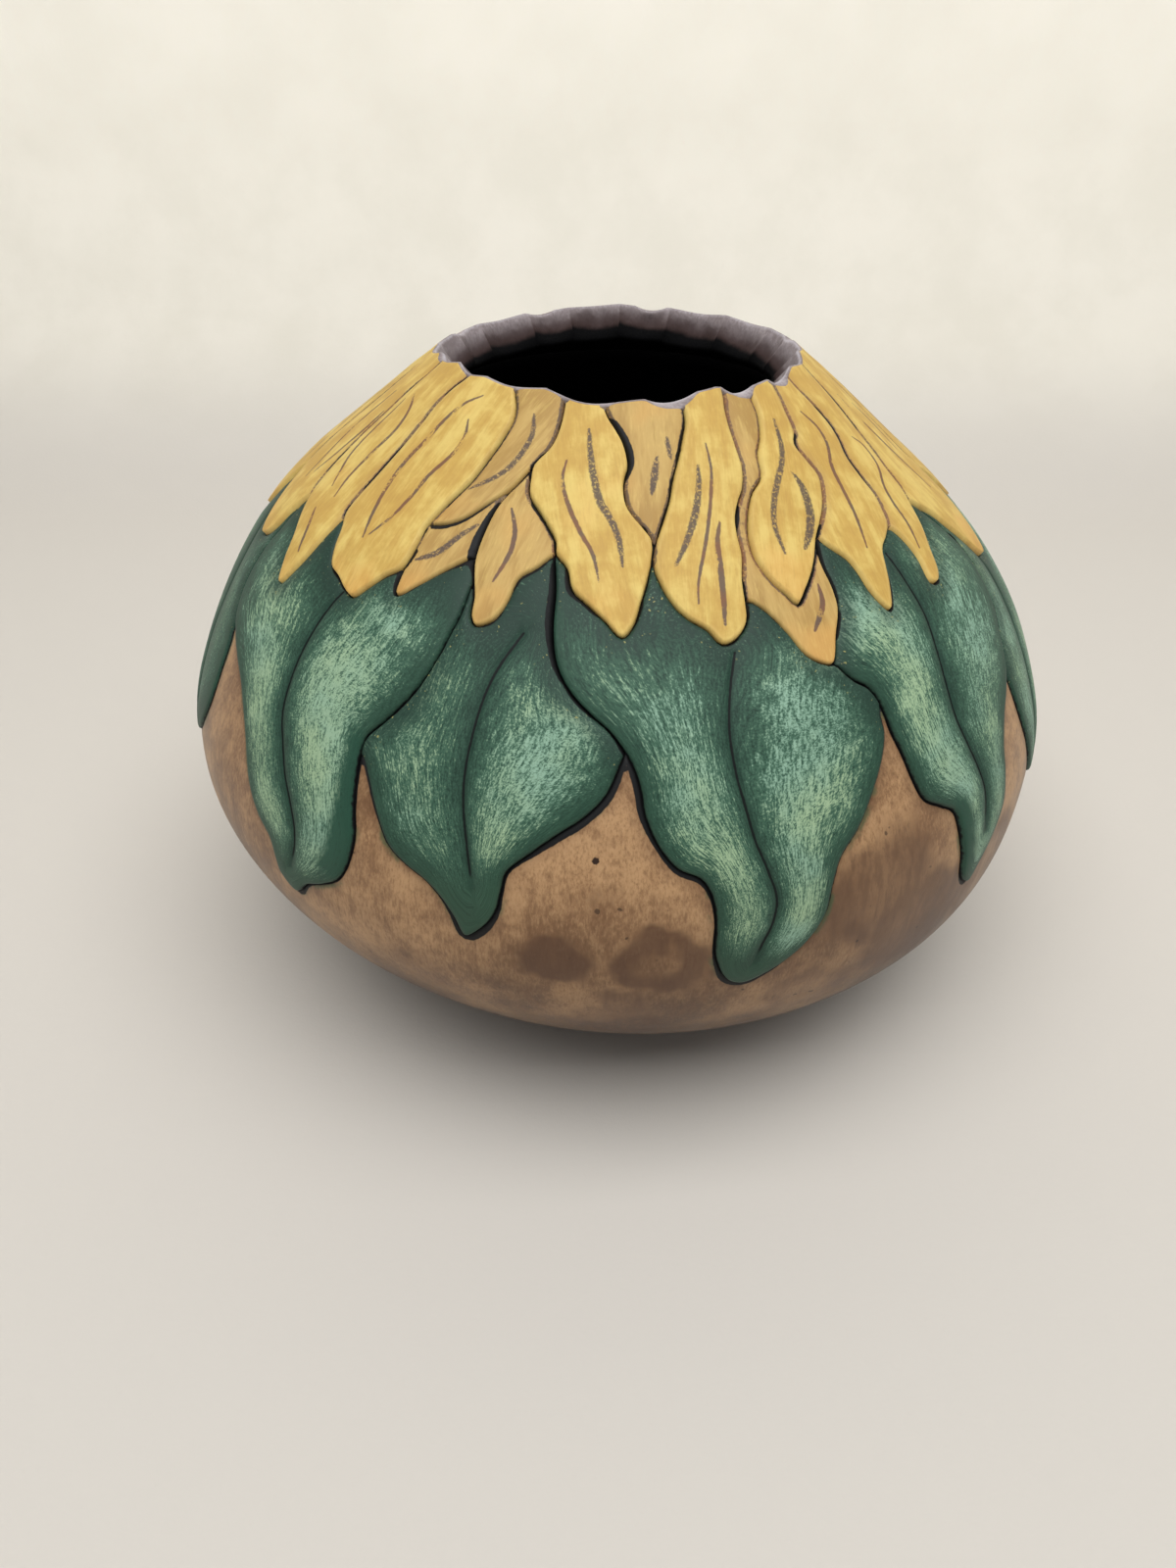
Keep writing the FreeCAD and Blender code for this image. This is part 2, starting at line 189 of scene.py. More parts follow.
# %% [markdown]
# ## The drawing
# The carver drew each panel freehand, so there is no formula for them. Each outline is a
# short list of given points, and a smooth line is laid through it. A panel lies over
# every panel further down its list, and its outline simply runs on underneath those.
# The back of the gourd repeats the front, drawn a little looser.

# %% Outlines of the petals
petal_outline_shares = {
    3: (
        (-47, 1.02), (-48.8, 1), (-50.9, .984), (-51.5, .964), (-50.9, .937), (-50.5, .909),
        (-50.5, .881), (-50.4, .839), (-48.2, .82), (-46.8, .803), (-45, .787), (-42.4, .781),
        (-40, .773), (-38.2, .77), (-36.5, .781), (-34.1, .798), (-32.1, .809), (-31.6, .831),
        (-31.8, .853), (-31.2, .864), (-30, .881), (-28.2, .903), (-27.1, .928), (-26.2, .951),
        (-25.9, .97), (-27.1, .984), (-29.7, 1), (-30.5, 1.02),
    ),
    7: (
        (-14.3, 1.02), (-14.1, 1), (-13.5, .97), (-14.1, .948), (-16.5, .928), (-16.2, .914),
        (-15.3, .9), (-11.8, .881), (-8.5, .859), (-7.9, .846), (-5.9, .834), (-4.7, .814),
        (-2.4, .801), (0, .787), (2.1, .773), (3.8, .784), (5, .803), (6.2, .823), (7.1, .842),
        (7.4, .859), (6.2, .87), (3.5, .889), (2.6, .903), (2.4, .917), (3.1, .934), (2.1, .953),
        (.3, .967), (-1.8, .98), (-3.6, .996), (-4.5, 1.02),
    ),
    9: (
        (17.9, 1.02), (17.6, .992), (17.4, .976), (15.6, .956), (14.1, .939), (12.4, .92),
        (10.9, .895), (9.4, .876), (7.7, .853), (7.3, .837), (8.2, .817), (9.7, .798),
        (11.2, .787), (13.5, .776), (15, .763), (17.1, .766), (19.1, .778), (19.7, .792),
        (20.3, .814), (21.5, .837), (21.8, .856), (22.4, .873), (23.8, .887), (25.6, .9),
        (27.1, .92), (27.4, .939), (27.9, .964), (28.8, .981), (30, .994), (31, 1.02),
    ),
    11: (
        (39.5, 1.02), (38.8, .995), (37.9, .97), (35.3, .948), (32.4, .931), (30.9, .909),
        (27.6, .895), (25.3, .876), (23.8, .853), (23.6, .834), (24.7, .812), (26.5, .794),
        (27.4, .785), (29.4, .795), (31.8, .809), (33.8, .823), (35.6, .837), (38.2, .851),
        (40.6, .864), (42.9, .881), (44.1, .895), (43.5, .912), (42.9, .931), (45, .942),
        (46.5, .964), (48.2, .984), (49.5, 1.02),
    ),
    4: (
        (-36, 1.02), (-36, .88), (-34, .853), (-31.2, .856), (-28.2, .86), (-25.3, .87),
        (-22.4, .887), (-19.4, .903), (-16.8, .926), (-12, .94), (-10, 1.02),
    ),
    6: (
        (-17.4, .94), (-17, .923), (-19.4, .9), (-20.6, .881), (-20.9, .853), (-20.6, .831),
        (-19.7, .814), (-18.8, .798), (-18.5, .781), (-17.6, .774), (-15.3, .781), (-13.8, .798),
        (-12.9, .82), (-10.6, .831), (-8.2, .845), (-5, .86), (-5, .9), (-12, .94),
    ),
    5: (
        (-30, .94), (-36, .87), (-34, .83), (-31.8, .812), (-31, .785), (-28.2, .798),
        (-25.3, .814), (-21.5, .8325), (-19, .84), (-18, .9), (-16, .94),
    ),
    8: (
        (-7, 1.02), (-4, .95), (0, .9), (4, .865), (7.5, .853), (11, .87), (14, .9), (19, .94),
        (21, 1.02),
    ),
    12: (
        (45, 1.02), (41, .9), (36, .86), (36.4, .838), (37.6, .826), (39.4, .812), (40, .798),
        (40.3, .776), (41.8, .756), (44.1, .773), (45.9, .792), (47.4, .806), (50, .814),
        (52.6, .823), (54.1, .837), (55.3, .853), (55.3, .876), (55.6, .9), (57.6, .92),
        (58.5, .937), (58.2, .964), (57.4, .988), (57.2, 1.02),
    ),
    10: (
        (26, 1.02), (25, .93), (21, .88), (18.5, .84), (18.8, .803), (20.9, .795), (22.6, .784),
        (24.4, .764), (25.9, .742), (28.4, .73), (29.4, .731), (31.2, .751), (33.5, .773),
        (34.2, .792), (34.4, .814), (35.6, .835), (36.6, .85), (41, .9), (44, 1.02),
    ),
    13: (
        (50, 1.02), (50, .85), (52.4, .825), (53.8, .806), (54.1, .784), (53.2, .759),
        (54.7, .755), (56.5, .762), (58.5, .781), (61.2, .801), (63.5, .823), (65.3, .842),
        (65.9, .864), (67.1, .887), (67.9, .909), (69.4, .937), (70.6, .964), (72.4, 1),
        (73, 1.02),
    ),
    2: (
        (-67.6, 1.02), (-68, 1), (-68.8, .964), (-68.2, .909), (-67.6, .887), (-66.8, .862),
        (-65.6, .842), (-64.4, .828), (-61.8, .809), (-58.8, .789), (-56.8, .764), (-54.9, .745),
        (-52.9, .764), (-51.5, .787), (-50.7, .812), (-49.5, .84), (-46, .87), (-45, 1.02),
    ),
    1: (
        (-84, 1.02), (-83.6, .92), (-83.6, .87), (-82.4, .842), (-78.2, .809), (-74.4, .77),
        (-72, .757), (-69.7, .762), (-67.6, .778), (-66.5, .798), (-64.7, .826), (-62, .86),
        (-62, 1.02),
    ),
    14: (
        (66, 1.02), (62, .86), (64.4, .828), (66.5, .814), (68.8, .798), (70.6, .776),
        (72.9, .751), (75.9, .726), (78.8, .721), (81.2, .737), (83, .762), (84.2, .793),
        (84.8, .82), (84.4, .86), (85.4, .9), (86.6, .95), (86.4, 1.02),
    ),
    15: (
        (81, 1.02), (80, .86), (84.6, .822), (87, .806), (89.3, .786), (91.2, .765),
        (93.4, .752), (95.6, .768), (97, .796), (99, .83), (102, .86), (101, 1.02),
    ),
}

# %% Outlines of the leaves
leaf_outline_shares = {
    5: (
        (27, .885), (27, .76), (29.7, .726), (31.1, .712), (32.8, .702), (33.9, .683), (34.2, .66),
        (35, .636), (35.8, .61), (36.9, .59), (39.4, .576), (41.4, .564), (42.2, .545),
        (43.1, .517), (44.2, .481), (46, .465), (47.8, .483), (50, .507), (52.2, .531),
        (53.1, .56), (53.9, .586), (56.1, .612), (58.3, .626), (60.8, .643), (64, .675),
        (67.1, .7), (68.8, .728), (69.4, .756), (68.2, .784), (66, .82), (65, .885),
    ),
    4: (
        (-7, .885), (-7.1, .805), (-6.9, .768), (-6.1, .745), (-4.4, .725), (-2.2, .709),
        (0, .695), (2.2, .671), (3.1, .65), (3.6, .626), (5, .6), (6.9, .581), (9.2, .571),
        (10.3, .555), (10.8, .531), (10.8, .502), (11.2, .483), (12.2, .462), (13.9, .455),
        (16.1, .462), (18.9, .476), (21.1, .493), (22.8, .517), (23.6, .545), (24.7, .569),
        (27.2, .59), (29.7, .617), (31.7, .64), (33.1, .662), (33.4, .68), (36, .69), (36, .885),
    ),
    2: (
        (-64, .885), (-65.4, .786), (-66.4, .759), (-66.5, .732), (-65.7, .705), (-63.9, .682),
        (-61.1, .668), (-57.8, .655), (-54.4, .641), (-51.7, .623), (-49.4, .602), (-47.8, .582),
        (-46.1, .559), (-43.9, .539), (-41.7, .525), (-40.8, .505), (-40.3, .491), (-37.9, .477),
        (-35.6, .495), (-32.8, .507), (-30.6, .52), (-29.2, .541), (-28.6, .568), (-29.2, .595),
        (-29.6, .623), (-29.6, .645), (-29.2, .659), (-27.2, .677), (-25, .698), (-23.3, .718),
        (-21.9, .741), (-20.8, .764), (-20.1, .78), (-19.7, .805), (-19.6, .885),
    ),
    3: (
        (-26, .885), (-27, .72), (-31, .665), (-30.6, .645), (-29.2, .641), (-28.1, .63),
        (-26.7, .609), (-25.3, .589), (-23.9, .573), (-21.7, .561), (-19.4, .552), (-17.5, .539),
        (-16.1, .523), (-14.9, .505), (-13.1, .516), (-11.7, .534), (-11.1, .555), (-10.6, .573),
        (-8.3, .591), (-5.6, .609), (-2.8, .625), (-.6, .643), (.8, .665), (2.5, .7), (0, .74),
        (-3.5, .78), (-3.5, .885),
    ),
    6: (
        (62, .885), (64, .75), (60, .66), (60.7, .631), (61.1, .602), (61.9, .574), (63.1, .55),
        (64.4, .524), (66.6, .499), (69.6, .515), (72.2, .543), (74.6, .572), (78.4, .596),
        (83.2, .617), (87.6, .644), (91.2, .677), (92.6, .716), (92, .76), (90.4, .8),
        (89.5, .885),
    ),
    1: (
        (-95, .885), (-95, .74), (-91.4, .7), (-88.4, .668), (-84, .643), (-80, .62),
        (-77, .594), (-75.4, .562), (-73.6, .54), (-70, .521), (-67.4, .534), (-65.2, .552),
        (-62.9, .582), (-62.3, .609), (-62.5, .65), (-63.3, .675), (-60, .7), (-58, .885),
    ),
}

# %% Midribs of the leaves, from the petals down to the tip
leaf_rib_shares = {
    1: (
        (-78, .8), (-77.6, .76), (-76.5, .72), (-75.5, .68), (-74.5, .64), (-73, .6),
        (-71.5, .57), (-70.5, .54),
    ),
    2: (
        (-40.3, .775), (-42.2, .741), (-43.3, .709), (-43.6, .677), (-43.1, .645), (-41.4, .618),
        (-40, .595), (-38.3, .573), (-37.2, .552), (-37.1, .532), (-37.8, .509),
    ),
    3: (
        (-10.8, .773), (-13.6, .741), (-15, .714), (-15.8, .682), (-16.1, .65), (-15.8, .623),
        (-15.1, .595), (-14.4, .568), (-14.1, .555),
    ),
    4: (
        (16.4, .755), (14.7, .726), (13.6, .693), (13.6, .66), (14.2, .631), (15, .6),
        (16.1, .574), (17.1, .545), (16.7, .521), (15.8, .502), (15, .481),
    ),
    5: (
        (48.1, .802), (48.1, .769), (47.8, .74), (46.4, .707), (45.3, .674), (45, .645),
        (45.8, .617), (46.7, .593), (47.5, .564), (47.2, .526),
    ),
    6: (
        (77, .8), (76, .76), (75, .72), (73.5, .68), (72, .64), (70.5, .6), (69, .57),
        (67.8, .54), (67, .52),
    ),
}

# %% Brushed lines on the petals: half width in millimetres, whether it is stippled, points
petal_stroke_shares = {
    1: (
        (0.35, False, (-76, .95), (-76.4, .92), (-75.8, .89), (-74.2, .86), (-72.6, .83)),
        (0.3, False, (-70, .93), (-69.5, .9), (-70, .87), (-71.2, .84)),
    ),
    2: (
        (0.35, False, (-65.9, .953), (-65.3, .909), (-64.1, .881), (-61.8, .864), (-59.7, .848)),
        (0.4, False, (-63.5, .962), (-59.4, .948), (-57.1, .926), (-57.4, .895), (-57.4, .864),
         (-56.2, .842)),
        (0.35, False, (-58.5, .823), (-55.9, .803), (-54.1, .781)),
    ),
    3: (
        (0.45, False, (-38.2, .987), (-41.8, .976), (-44.1, .956), (-45, .931), (-45.9, .903),
         (-45.3, .876), (-43.8, .848), (-42.1, .823)),
        (0.4, False, (-37.4, .96), (-35.3, .942), (-35.6, .923), (-37.6, .898), (-38.2, .873),
         (-39.4, .848), (-41.2, .828)),
    ),
    4: (
        (0.4, True, (-20.9, .978), (-19.4, .959), (-20, .939), (-21.8, .92), (-24.7, .906),
         (-27.6, .896)),
    ),
    5: ((0.45, True, (-22.4, .864), (-24.7, .85), (-27.1, .831), (-30.3, .82)),),
    6: ((0.4, False, (-17.6, .884), (-15.6, .864), (-15.2, .842), (-16.5, .814)),),
    7: (
        (0.45, True, (-6.2, .967), (-5, .942), (-3.5, .917), (-1.8, .895), (.9, .873), (2.1, .853),
         (2.5, .834)),
        (0.35, False, (-9.7, .934), (-9.7, .917), (-8.2, .898), (-4.7, .867), (-2.1, .845),
         (-.9, .82)),
    ),
    8: (
        (0.45, True, (9.1, .939), (8.2, .917), (7.6, .903)),
        (0.3, True, (11.8, .959), (12.1, .937)),
    ),
    9: (
        (0.45, True, (17.4, .927), (16.8, .909), (15.3, .884), (13.5, .862), (10.6, .834)),
        (0.3, False, (20.3, .948), (20, .923), (18.2, .889), (15.9, .853), (13.5, .817),
         (12.9, .798)),
        (0.5, False, (19.1, .87), (17.9, .853), (17.1, .82), (16.5, .798), (15.9, .778)),
    ),
    10: ((0.5, False, (31.9, .798), (31.2, .781), (28.2, .76)),),
    11: (
        (0.45, True, (40.9, .96), (38.8, .934), (36.5, .917), (33.5, .901), (30.6, .881),
         (28.8, .859), (28.5, .831)),
        (0.65, True, (37.9, .901), (38.2, .887), (37.1, .864), (35.3, .848), (32.4, .831)),
    ),
    12: (
        (0.4, False, (51.2, .959), (52.9, .939), (52.1, .92), (48.8, .898), (47.6, .873),
         (46.5, .848), (44.1, .814)),
    ),
    13: (
        (0.35, False, (62.6, .912), (64.4, .898), (63.5, .876), (59.7, .856), (58.2, .837),
         (57.4, .814), (55.6, .789)),
    ),
    14: (
        (0.35, False, (75, .95), (74.6, .92), (75.6, .88), (76.6, .85), (77.4, .81)),
        (0.3, False, (80, .93), (80.6, .9), (80.2, .86)),
    ),
    15: (
        (0.35, False, (91, .95), (90.6, .92), (91.4, .88), (92.6, .85), (93.4, .82)),
        (0.3, True, (96, .92), (96.4, .89), (96, .86)),
    ),
}
ochre_petals = (4, 5, 6, 8, 10)

# %% Lay smooth lines through the points
back_start = 96.0
back_swing = 5.0
back_lift_share = 0.02
line_step = 0.8


def freehand(azimuth, share):
    """A point of the drawing, moved as the carver's second half strays from the first."""
    round_back = (azimuth - back_start) / 180
    if 0 < round_back < 1:
        stray = math.sin(math.pi * round_back) ** 2
        share += back_lift_share * stray * math.sin(2 * math.pi * round_back) * (1 - share)
        azimuth += back_swing * stray
    return azimuth, share


def smooth_line(points, half=0, closed=False):
    """Chart places a step apart on a smooth line through the points of one half."""
    moved = [freehand(azimuth + 180 * half, share) for azimuth, share in points]
    knots = np.array([(math.radians(azimuth), rise_of(share)) for azimuth, share in moved])
    if closed:
        before, after = knots[-1:], knots[:2]
    else:
        before, after = 2 * knots[:1] - knots[1:2], 2 * knots[-1:] - knots[-2:-1]
    knots = np.vstack([before, knots, after])
    gaps = np.linalg.norm(np.diff(knots, axis=0), axis=1)
    slopes = (knots[2:] - knots[:-2]) / (gaps[1:] + gaps[:-1])[:, None]
    places = []
    for i in range(len(slopes) - 1):
        start, end, gap = knots[i + 1], knots[i + 2], gaps[i + 1]
        count = max(1, round(gap * radius_at(start[1]) / line_step))
        t = (np.arange(count) / count)[:, None]
        places.append(
            (1 + 2 * t) * (1 - t) ** 2 * start + t**2 * (3 - 2 * t) * end
            + t * (1 - t) ** 2 * gap * slopes[i] - t**2 * (1 - t) * gap * slopes[i + 1]
        )
    if not closed:
        places.append(knots[-2:-1])
    return np.vstack(places)


def ring_of(outlines):
    """Every panel of both halves, as its number, its number in the half, half and loop."""
    panels = []
    for half in (0, 1):
        for number, outline in outlines.items():
            panels.append({
                "number": number + len(outlines) * half,
                "half_number": number,
                "half": half,
                "rank": len(panels) % len(outlines),
                "loop": smooth_line(outline, half, closed=True),
            })
    return panels


petals = ring_of(petal_outline_shares)
leaves = ring_of(leaf_outline_shares)
loop_points = sum(len(panel["loop"]) for panel in petals + leaves)
print("petals", len(petals), "leaves", len(leaves), "loop points", loop_points)

# %% [markdown]
# ## The gouged rim
# The rim's height comes first, because the petals end where it starts. Each scoop is one
# stroke of a round gouge, so it is a shallow arc between two sharp ridges, and some scoops
# go deeper than others. In some places the gouge also bit into the outer edge and left a
# crescent. The ridges stand at shares of half a turn, and their heights are shares too.

# %% How deep the rim is cut at each azimuth
ridge_shares = (
    -1.0, -0.894, -0.806, -0.683, -0.606, -0.511, -0.417, -0.322, -0.233, -0.114,
    0.028, 0.16, 0.264, 0.356, 0.456, 0.556, 0.644, 0.767, 0.894,
)
ridge_rise_shares = (
    1.6, 1.0, .7, .2, .3, .2, 1.0, 1.4, .9, .75, -.2, .65, .2, .5, .8, 1.0, .6, 1.0, 1.1,
)
scoop_depth_shares = (
    .2, .3, .6, .5, .6, .6, .5, .5, .4, .9, .1, .4, .5, .6, .7, .6, .6, .7, .3,
)
ridge_rise = 1.6
scoop_depth = 1.7
lip_width = 0.45
bites = (
    (15, 7.5, 2.1), (36, 5.5, 1.9), (53, 4.5, 1.5), (102, 5.5, 1.2), (168, 6, 1.4),
    (-150, 6, 1.2), (-112, 5, 1.0), (-72, 4, 0.7),
)
ridges = np.append(np.array(ridge_shares), ridge_shares[0] + 2) * 180


def wrapped(degrees):
    """Azimuths in degrees, brought to between -180 and 180."""
    return (np.asarray(degrees) + 180) % 360 - 180


def scoop_place(degrees):
    """The scoop that an azimuth is in, and the place in it from -1 to 1."""
    azimuth = wrapped(degrees)
    index = np.clip(np.searchsorted(ridges, azimuth, side="right") - 1, 0, len(ridges) - 2)
    first, last = ridges[index], ridges[index + 1]
    return index, (2 * azimuth - first - last) / (last - first)


def scoop_sag(degrees):
    """How far the gouge cut below the mouth, negative where a ridge stands above it."""
    index, place = scoop_place(degrees)
    rises = ridge_rise * np.append(ridge_rise_shares, ridge_rise_shares[0])
    between = rises[index] + (rises[index + 1] - rises[index]) * (place + 1) / 2
    hollow = (1 - place**2 + (1 + np.cos(math.pi * place)) / 2) / 2
    return scoop_depth * np.array(scoop_depth_shares)[index] * hollow - between


def bite_depth(degrees):
    """How far a crescent reaches down the outside."""
    azimuth = wrapped(degrees)
    depth = np.zeros(azimuth.shape)
    for middle, half_width, deep in bites:
        depth += deep * np.clip(1 - ((azimuth - middle) / half_width) ** 2, 0, None)
    return depth


def petal_end_share(degrees):
    """The share of the wall at which the petals' paint ends."""
    return 1 - (scoop_sag(degrees) + bite_depth(degrees) + lip_width) / wall_length


print("scoops", len(ridge_shares), "bites", len(bites))

# %% [markdown]
# ## Measuring on the chart
# Everything that shows on a carved panel depends on how far a point is from a line: the
# rounded edge, the burnt line, the darker paint beside it. So each vertex gets its distances
# to the lines near it, and the shader reads them. A picture would hold the same facts, but
# distances stay sharp at any size.

# %% Distances and insides
row_chunk = 1500
tiny = 1e-12
far_gap = 12.0


def in_loop(places, loop):
    """Whether chart places lie inside a loop."""
    after = np.roll(loop, -1, axis=0)
    flags = []
    for start in range(0, len(places), row_chunk):
        x, y = places[start:start + row_chunk].T[:, :, None]
        crosses = (loop[:, 1] > y) != (after[:, 1] > y)
        steep = after[:, 1] - loop[:, 1] + tiny
        meets = loop[:, 0] + (after[:, 0] - loop[:, 0]) * (y - loop[:, 1]) / steep
        flags.append((crosses & (x < meets)).sum(axis=1) % 2 == 1)
    return np.concatenate(flags) if flags else np.zeros(0, bool)


def gap_to(places, line, closed=False):
    """Millimetres from chart places to a line, the place along it, and the side of it."""
    start = line if closed else line[:-1]
    step = (np.roll(line, -1, axis=0) if closed else line[1:]) - start
    size = (step**2).sum(axis=1) + tiny
    gaps, alongs, sides = [], [], []
    for first in range(0, len(places), row_chunk):
        away = places[first:first + row_chunk, None, :] - start
        t = np.clip((away * step).sum(axis=2) / size, 0, 1)
        square = ((away - t[:, :, None] * step) ** 2).sum(axis=2)
        best = square.argmin(axis=1)
        rows = np.arange(len(best))
        gaps.append(np.sqrt(square[rows, best]))
        alongs.append(best + t[rows, best])
        turn = step[best, 0] * away[rows, best, 1] - step[best, 1] * away[rows, best, 0]
        sides.append(np.sign(turn))
    if not gaps:
        return np.zeros(0), np.zeros(0), np.zeros(0)
    scale = radius_at(places[:, 1])
    return np.concatenate(gaps) * scale, np.concatenate(alongs), np.concatenate(sides)


def beside(line, distance, closed=False):
    """The chart places at a distance to the left of a line, or to its right if negative."""
    if closed:
        along = np.roll(line, -1, axis=0) - np.roll(line, 1, axis=0)
    else:
        along = np.gradient(line, axis=0)
    along = along / (np.linalg.norm(along, axis=1) + tiny)[:, None]
    out = np.stack([-along[:, 1], along[:, 0]], axis=1)
    return line + out * (distance / radius_at(line[:, 1]))[:, None]


def turned_to(loop, other):
    """The other loop, turned round the gourd to where this one is, or None."""
    for turn in (0, -2 * math.pi, 2 * math.pi):
        moved = other + (turn, 0)
        if moved[:, 0].min() < loop[:, 0].max() and loop[:, 0].min() < moved[:, 0].max():
            return moved
    return None


def lids_of(loop, others):
    """The loops out of a list that reach the place of this one."""
    moved = [turned_to(loop, other) for other in others]
    return [lid for lid in moved if lid is not None and (lid[:, 1].min() < loop[:, 1].max())]


# %% [markdown]
# ## Triangles for a panel
# A panel's mesh has to follow its outline, its midrib and its brushed lines, because a smooth
# distance between two vertices is only true if no line runs between them. A plain grid can't
# do that. A Delaunay triangulation with the lines as fixed edges does, and rows of points
# beside each line keep the rounding of the edge fine where it curves and coarse elsewhere.

# %% Triangulate the part of a loop that shows
edge_rows = (0.3, 0.7, 1.3)
line_rows = (0.45, 1.0)
row_slack = 0.85
grid_step = 1.25
merge_gap = 1e-7


def shows(places, loop, lids):
    """Whether chart places are inside a loop and outside all its lids."""
    flags = in_loop(places, loop)
    for lid in lids:
        flags[flags] = ~in_loop(places[flags], lid)
    return flags


def wall_grid(loop, step):
    """Chart places an even step apart on the gourd, over the box of a loop."""
    low, high = loop.min(axis=0), loop.max(axis=0)
    count = math.ceil((share_of(high[1]) - share_of(low[1])) * wall_length / step)
    rows = []
    for i, share in enumerate(np.linspace(share_of(low[1]), share_of(high[1]), count + 1)):
        rise = rise_of(share)
        across = step / radius_at(rise)
        row = np.arange(low[0] + across * (i % 2) / 2, high[0], across)
        rows.append(np.stack([row, np.full(len(row), rise)], axis=1))
    return np.vstack(rows)


def lid_gap(places, lids):
    """Millimetres from chart places to the nearest lid, up to the reach that matters."""
    gap = np.full(len(places), far_gap)
    margin = far_gap / mouth_radius
    for lid in lids:
        low, high = lid.min(axis=0) - margin, lid.max(axis=0) + margin
        near = ((places > low) & (places < high)).all(axis=1)
        gap[near] = np.minimum(gap[near], gap_to(places[near], lid, closed=True)[0])
    return gap


def rim_gap(places, loop, lids):
    """Millimetres from chart places to the nearest boundary of what shows."""
    return np.minimum(gap_to(places, loop, closed=True)[0], lid_gap(places, lids))


def chained(flags, first, closed):
    """Edges between neighbours of a line that are both kept, numbered from a first one."""
    count = len(flags)
    links = []
    number = first + np.cumsum(flags) - 1
    for i in range(count if closed else count - 1):
        j = (i + 1) % count
        if flags[i] and flags[j]:
            links.append((int(number[i]), int(number[j])))
    return links


def triangulate(places, links):
    """Chart places and triangles of a triangulation that keeps the links."""
    made = delaunay_2d_cdt([Vector(place) for place in places], links, [], 0, merge_gap)
    return np.array([tuple(place) for place in made[0]]), np.array(made[2])


def widened(flags):
    """The flags of a line, each kept run one place longer at both ends."""
    return flags | np.roll(flags, 1) | np.roll(flags, -1)


def leftwards(loop):
    """1 if a loop's inside is on its left, and -1 if it is on its right."""
    after = np.roll(loop, -1, axis=0)
    return np.sign((loop[:, 0] * after[:, 1] - after[:, 0] * loop[:, 1]).sum())


def panel_chart(loop, lids, lines):
    """The chart places and triangles of what shows of a loop beside its lids."""
    places, links = [], []

    def lay(line, flags, fixed=False, closed=False):
        if fixed:
            links.extend(chained(flags, sum(len(row) for row in places), closed))
        places.append(line[flags])

    for i, edge in enumerate([loop] + lids):
        seen = in_loop(edge, loop) if i else np.ones(len(edge), bool)
        for lid in lids:
            if lid is not edge:
                seen &= ~in_loop(edge, lid)
        lay(edge, widened(seen), fixed=True, closed=True)
        for distance in edge_rows:
            inwards = leftwards(edge) * (1 if i == 0 else -1)
            row = beside(edge, inwards * distance, closed=True)[seen]
            row = row[shows(row, loop, lids)]
            lay(row, rim_gap(row, loop, lids) > row_slack * distance)
    for line in lines:
        line = line[shows(line, loop, lids)]
        lay(line, rim_gap(line, loop, lids) > edge_rows[0], fixed=True)
        for distance in line_rows:
            for side in (-distance, distance):
                row = beside(line, side)
                row = row[shows(row, loop, lids)]
                flags = rim_gap(row, loop, lids) > edge_rows[1]
                for other in lines:
                    flags &= gap_to(row, other)[0] > row_slack * distance
                lay(row, flags)
    grid = wall_grid(loop, grid_step)
    grid = grid[shows(grid, loop, lids)]
    flags = rim_gap(grid, loop, lids) > edge_rows[-1] + grid_step / 2
    for line in lines:
        flags &= gap_to(grid, line)[0] > line_rows[-1] + grid_step / 3
    lay(grid, flags)
    return kept(*triangulate(np.vstack(places), links), loop, lids)


def kept(places, triangles, loop, lids):
    """Only the triangles that show, and only the places that they use."""
    triangles = triangles[shows(places[triangles].mean(axis=1), loop, lids)]
    used, numbers = np.unique(triangles, return_inverse=True)
    return places[used], numbers.reshape(triangles.shape)


# %% [markdown]
# ## Closing a panel
# A panel that ends in a bare edge looks like paper and can't be printed. Each one gets a
# skirt down into the shell and a coarse underside, so that it is a closed solid like the
# real carved layer. The skirt is flat shaded, which keeps the edge crisp.

# %% Make a piece from a chart
under_step = 8.0
skirt_proud = -1.2


def outer_edges(triangles):
    """The edges that only one triangle has, in that triangle's direction."""
    edges = np.vstack([triangles[:, (0, 1)], triangles[:, (1, 2)], triangles[:, (2, 0)]])
    size = triangles.max() + 1
    keys = edges[:, 0] * size + edges[:, 1]
    return edges[~np.isin(edges[:, 1] * size + edges[:, 0], keys)]


def underside(places, edges, loop, lids):
    """Places and triangles of a coarse underside that shares a panel's edge."""
    ring = np.unique(edges)
    number = {int(old): new for new, old in enumerate(ring)}
    links = [(number[int(a)], number[int(b)]) for a, b in edges]
    grid = wall_grid(loop, under_step)
    grid = grid[shows(grid, loop, lids)]
    grid = grid[rim_gap(grid, loop, lids) > under_step / 3]
    every = np.vstack([places[ring], grid])
    made = delaunay_2d_cdt([Vector(place) for place in every], links, [], 0, merge_gap)
    origin = np.array([first[0] if first else -1 for first in made[3]])
    triangles = np.array(made[2])
    middles = np.array([tuple(place) for place in made[0]])[triangles].mean(axis=1)
    triangles = origin[triangles[shows(middles, loop, lids)]]
    return ring, every, triangles[(triangles >= 0).all(axis=1)]


def add_fields(mesh, fields):
    """Store one number for each vertex under each name, for the shaders to read."""
    for name, values in fields.items():
        layer = mesh.attributes.new(name, "FLOAT", "POINT")
        layer.data.foreach_set("value", np.asarray(values, dtype=np.float32))


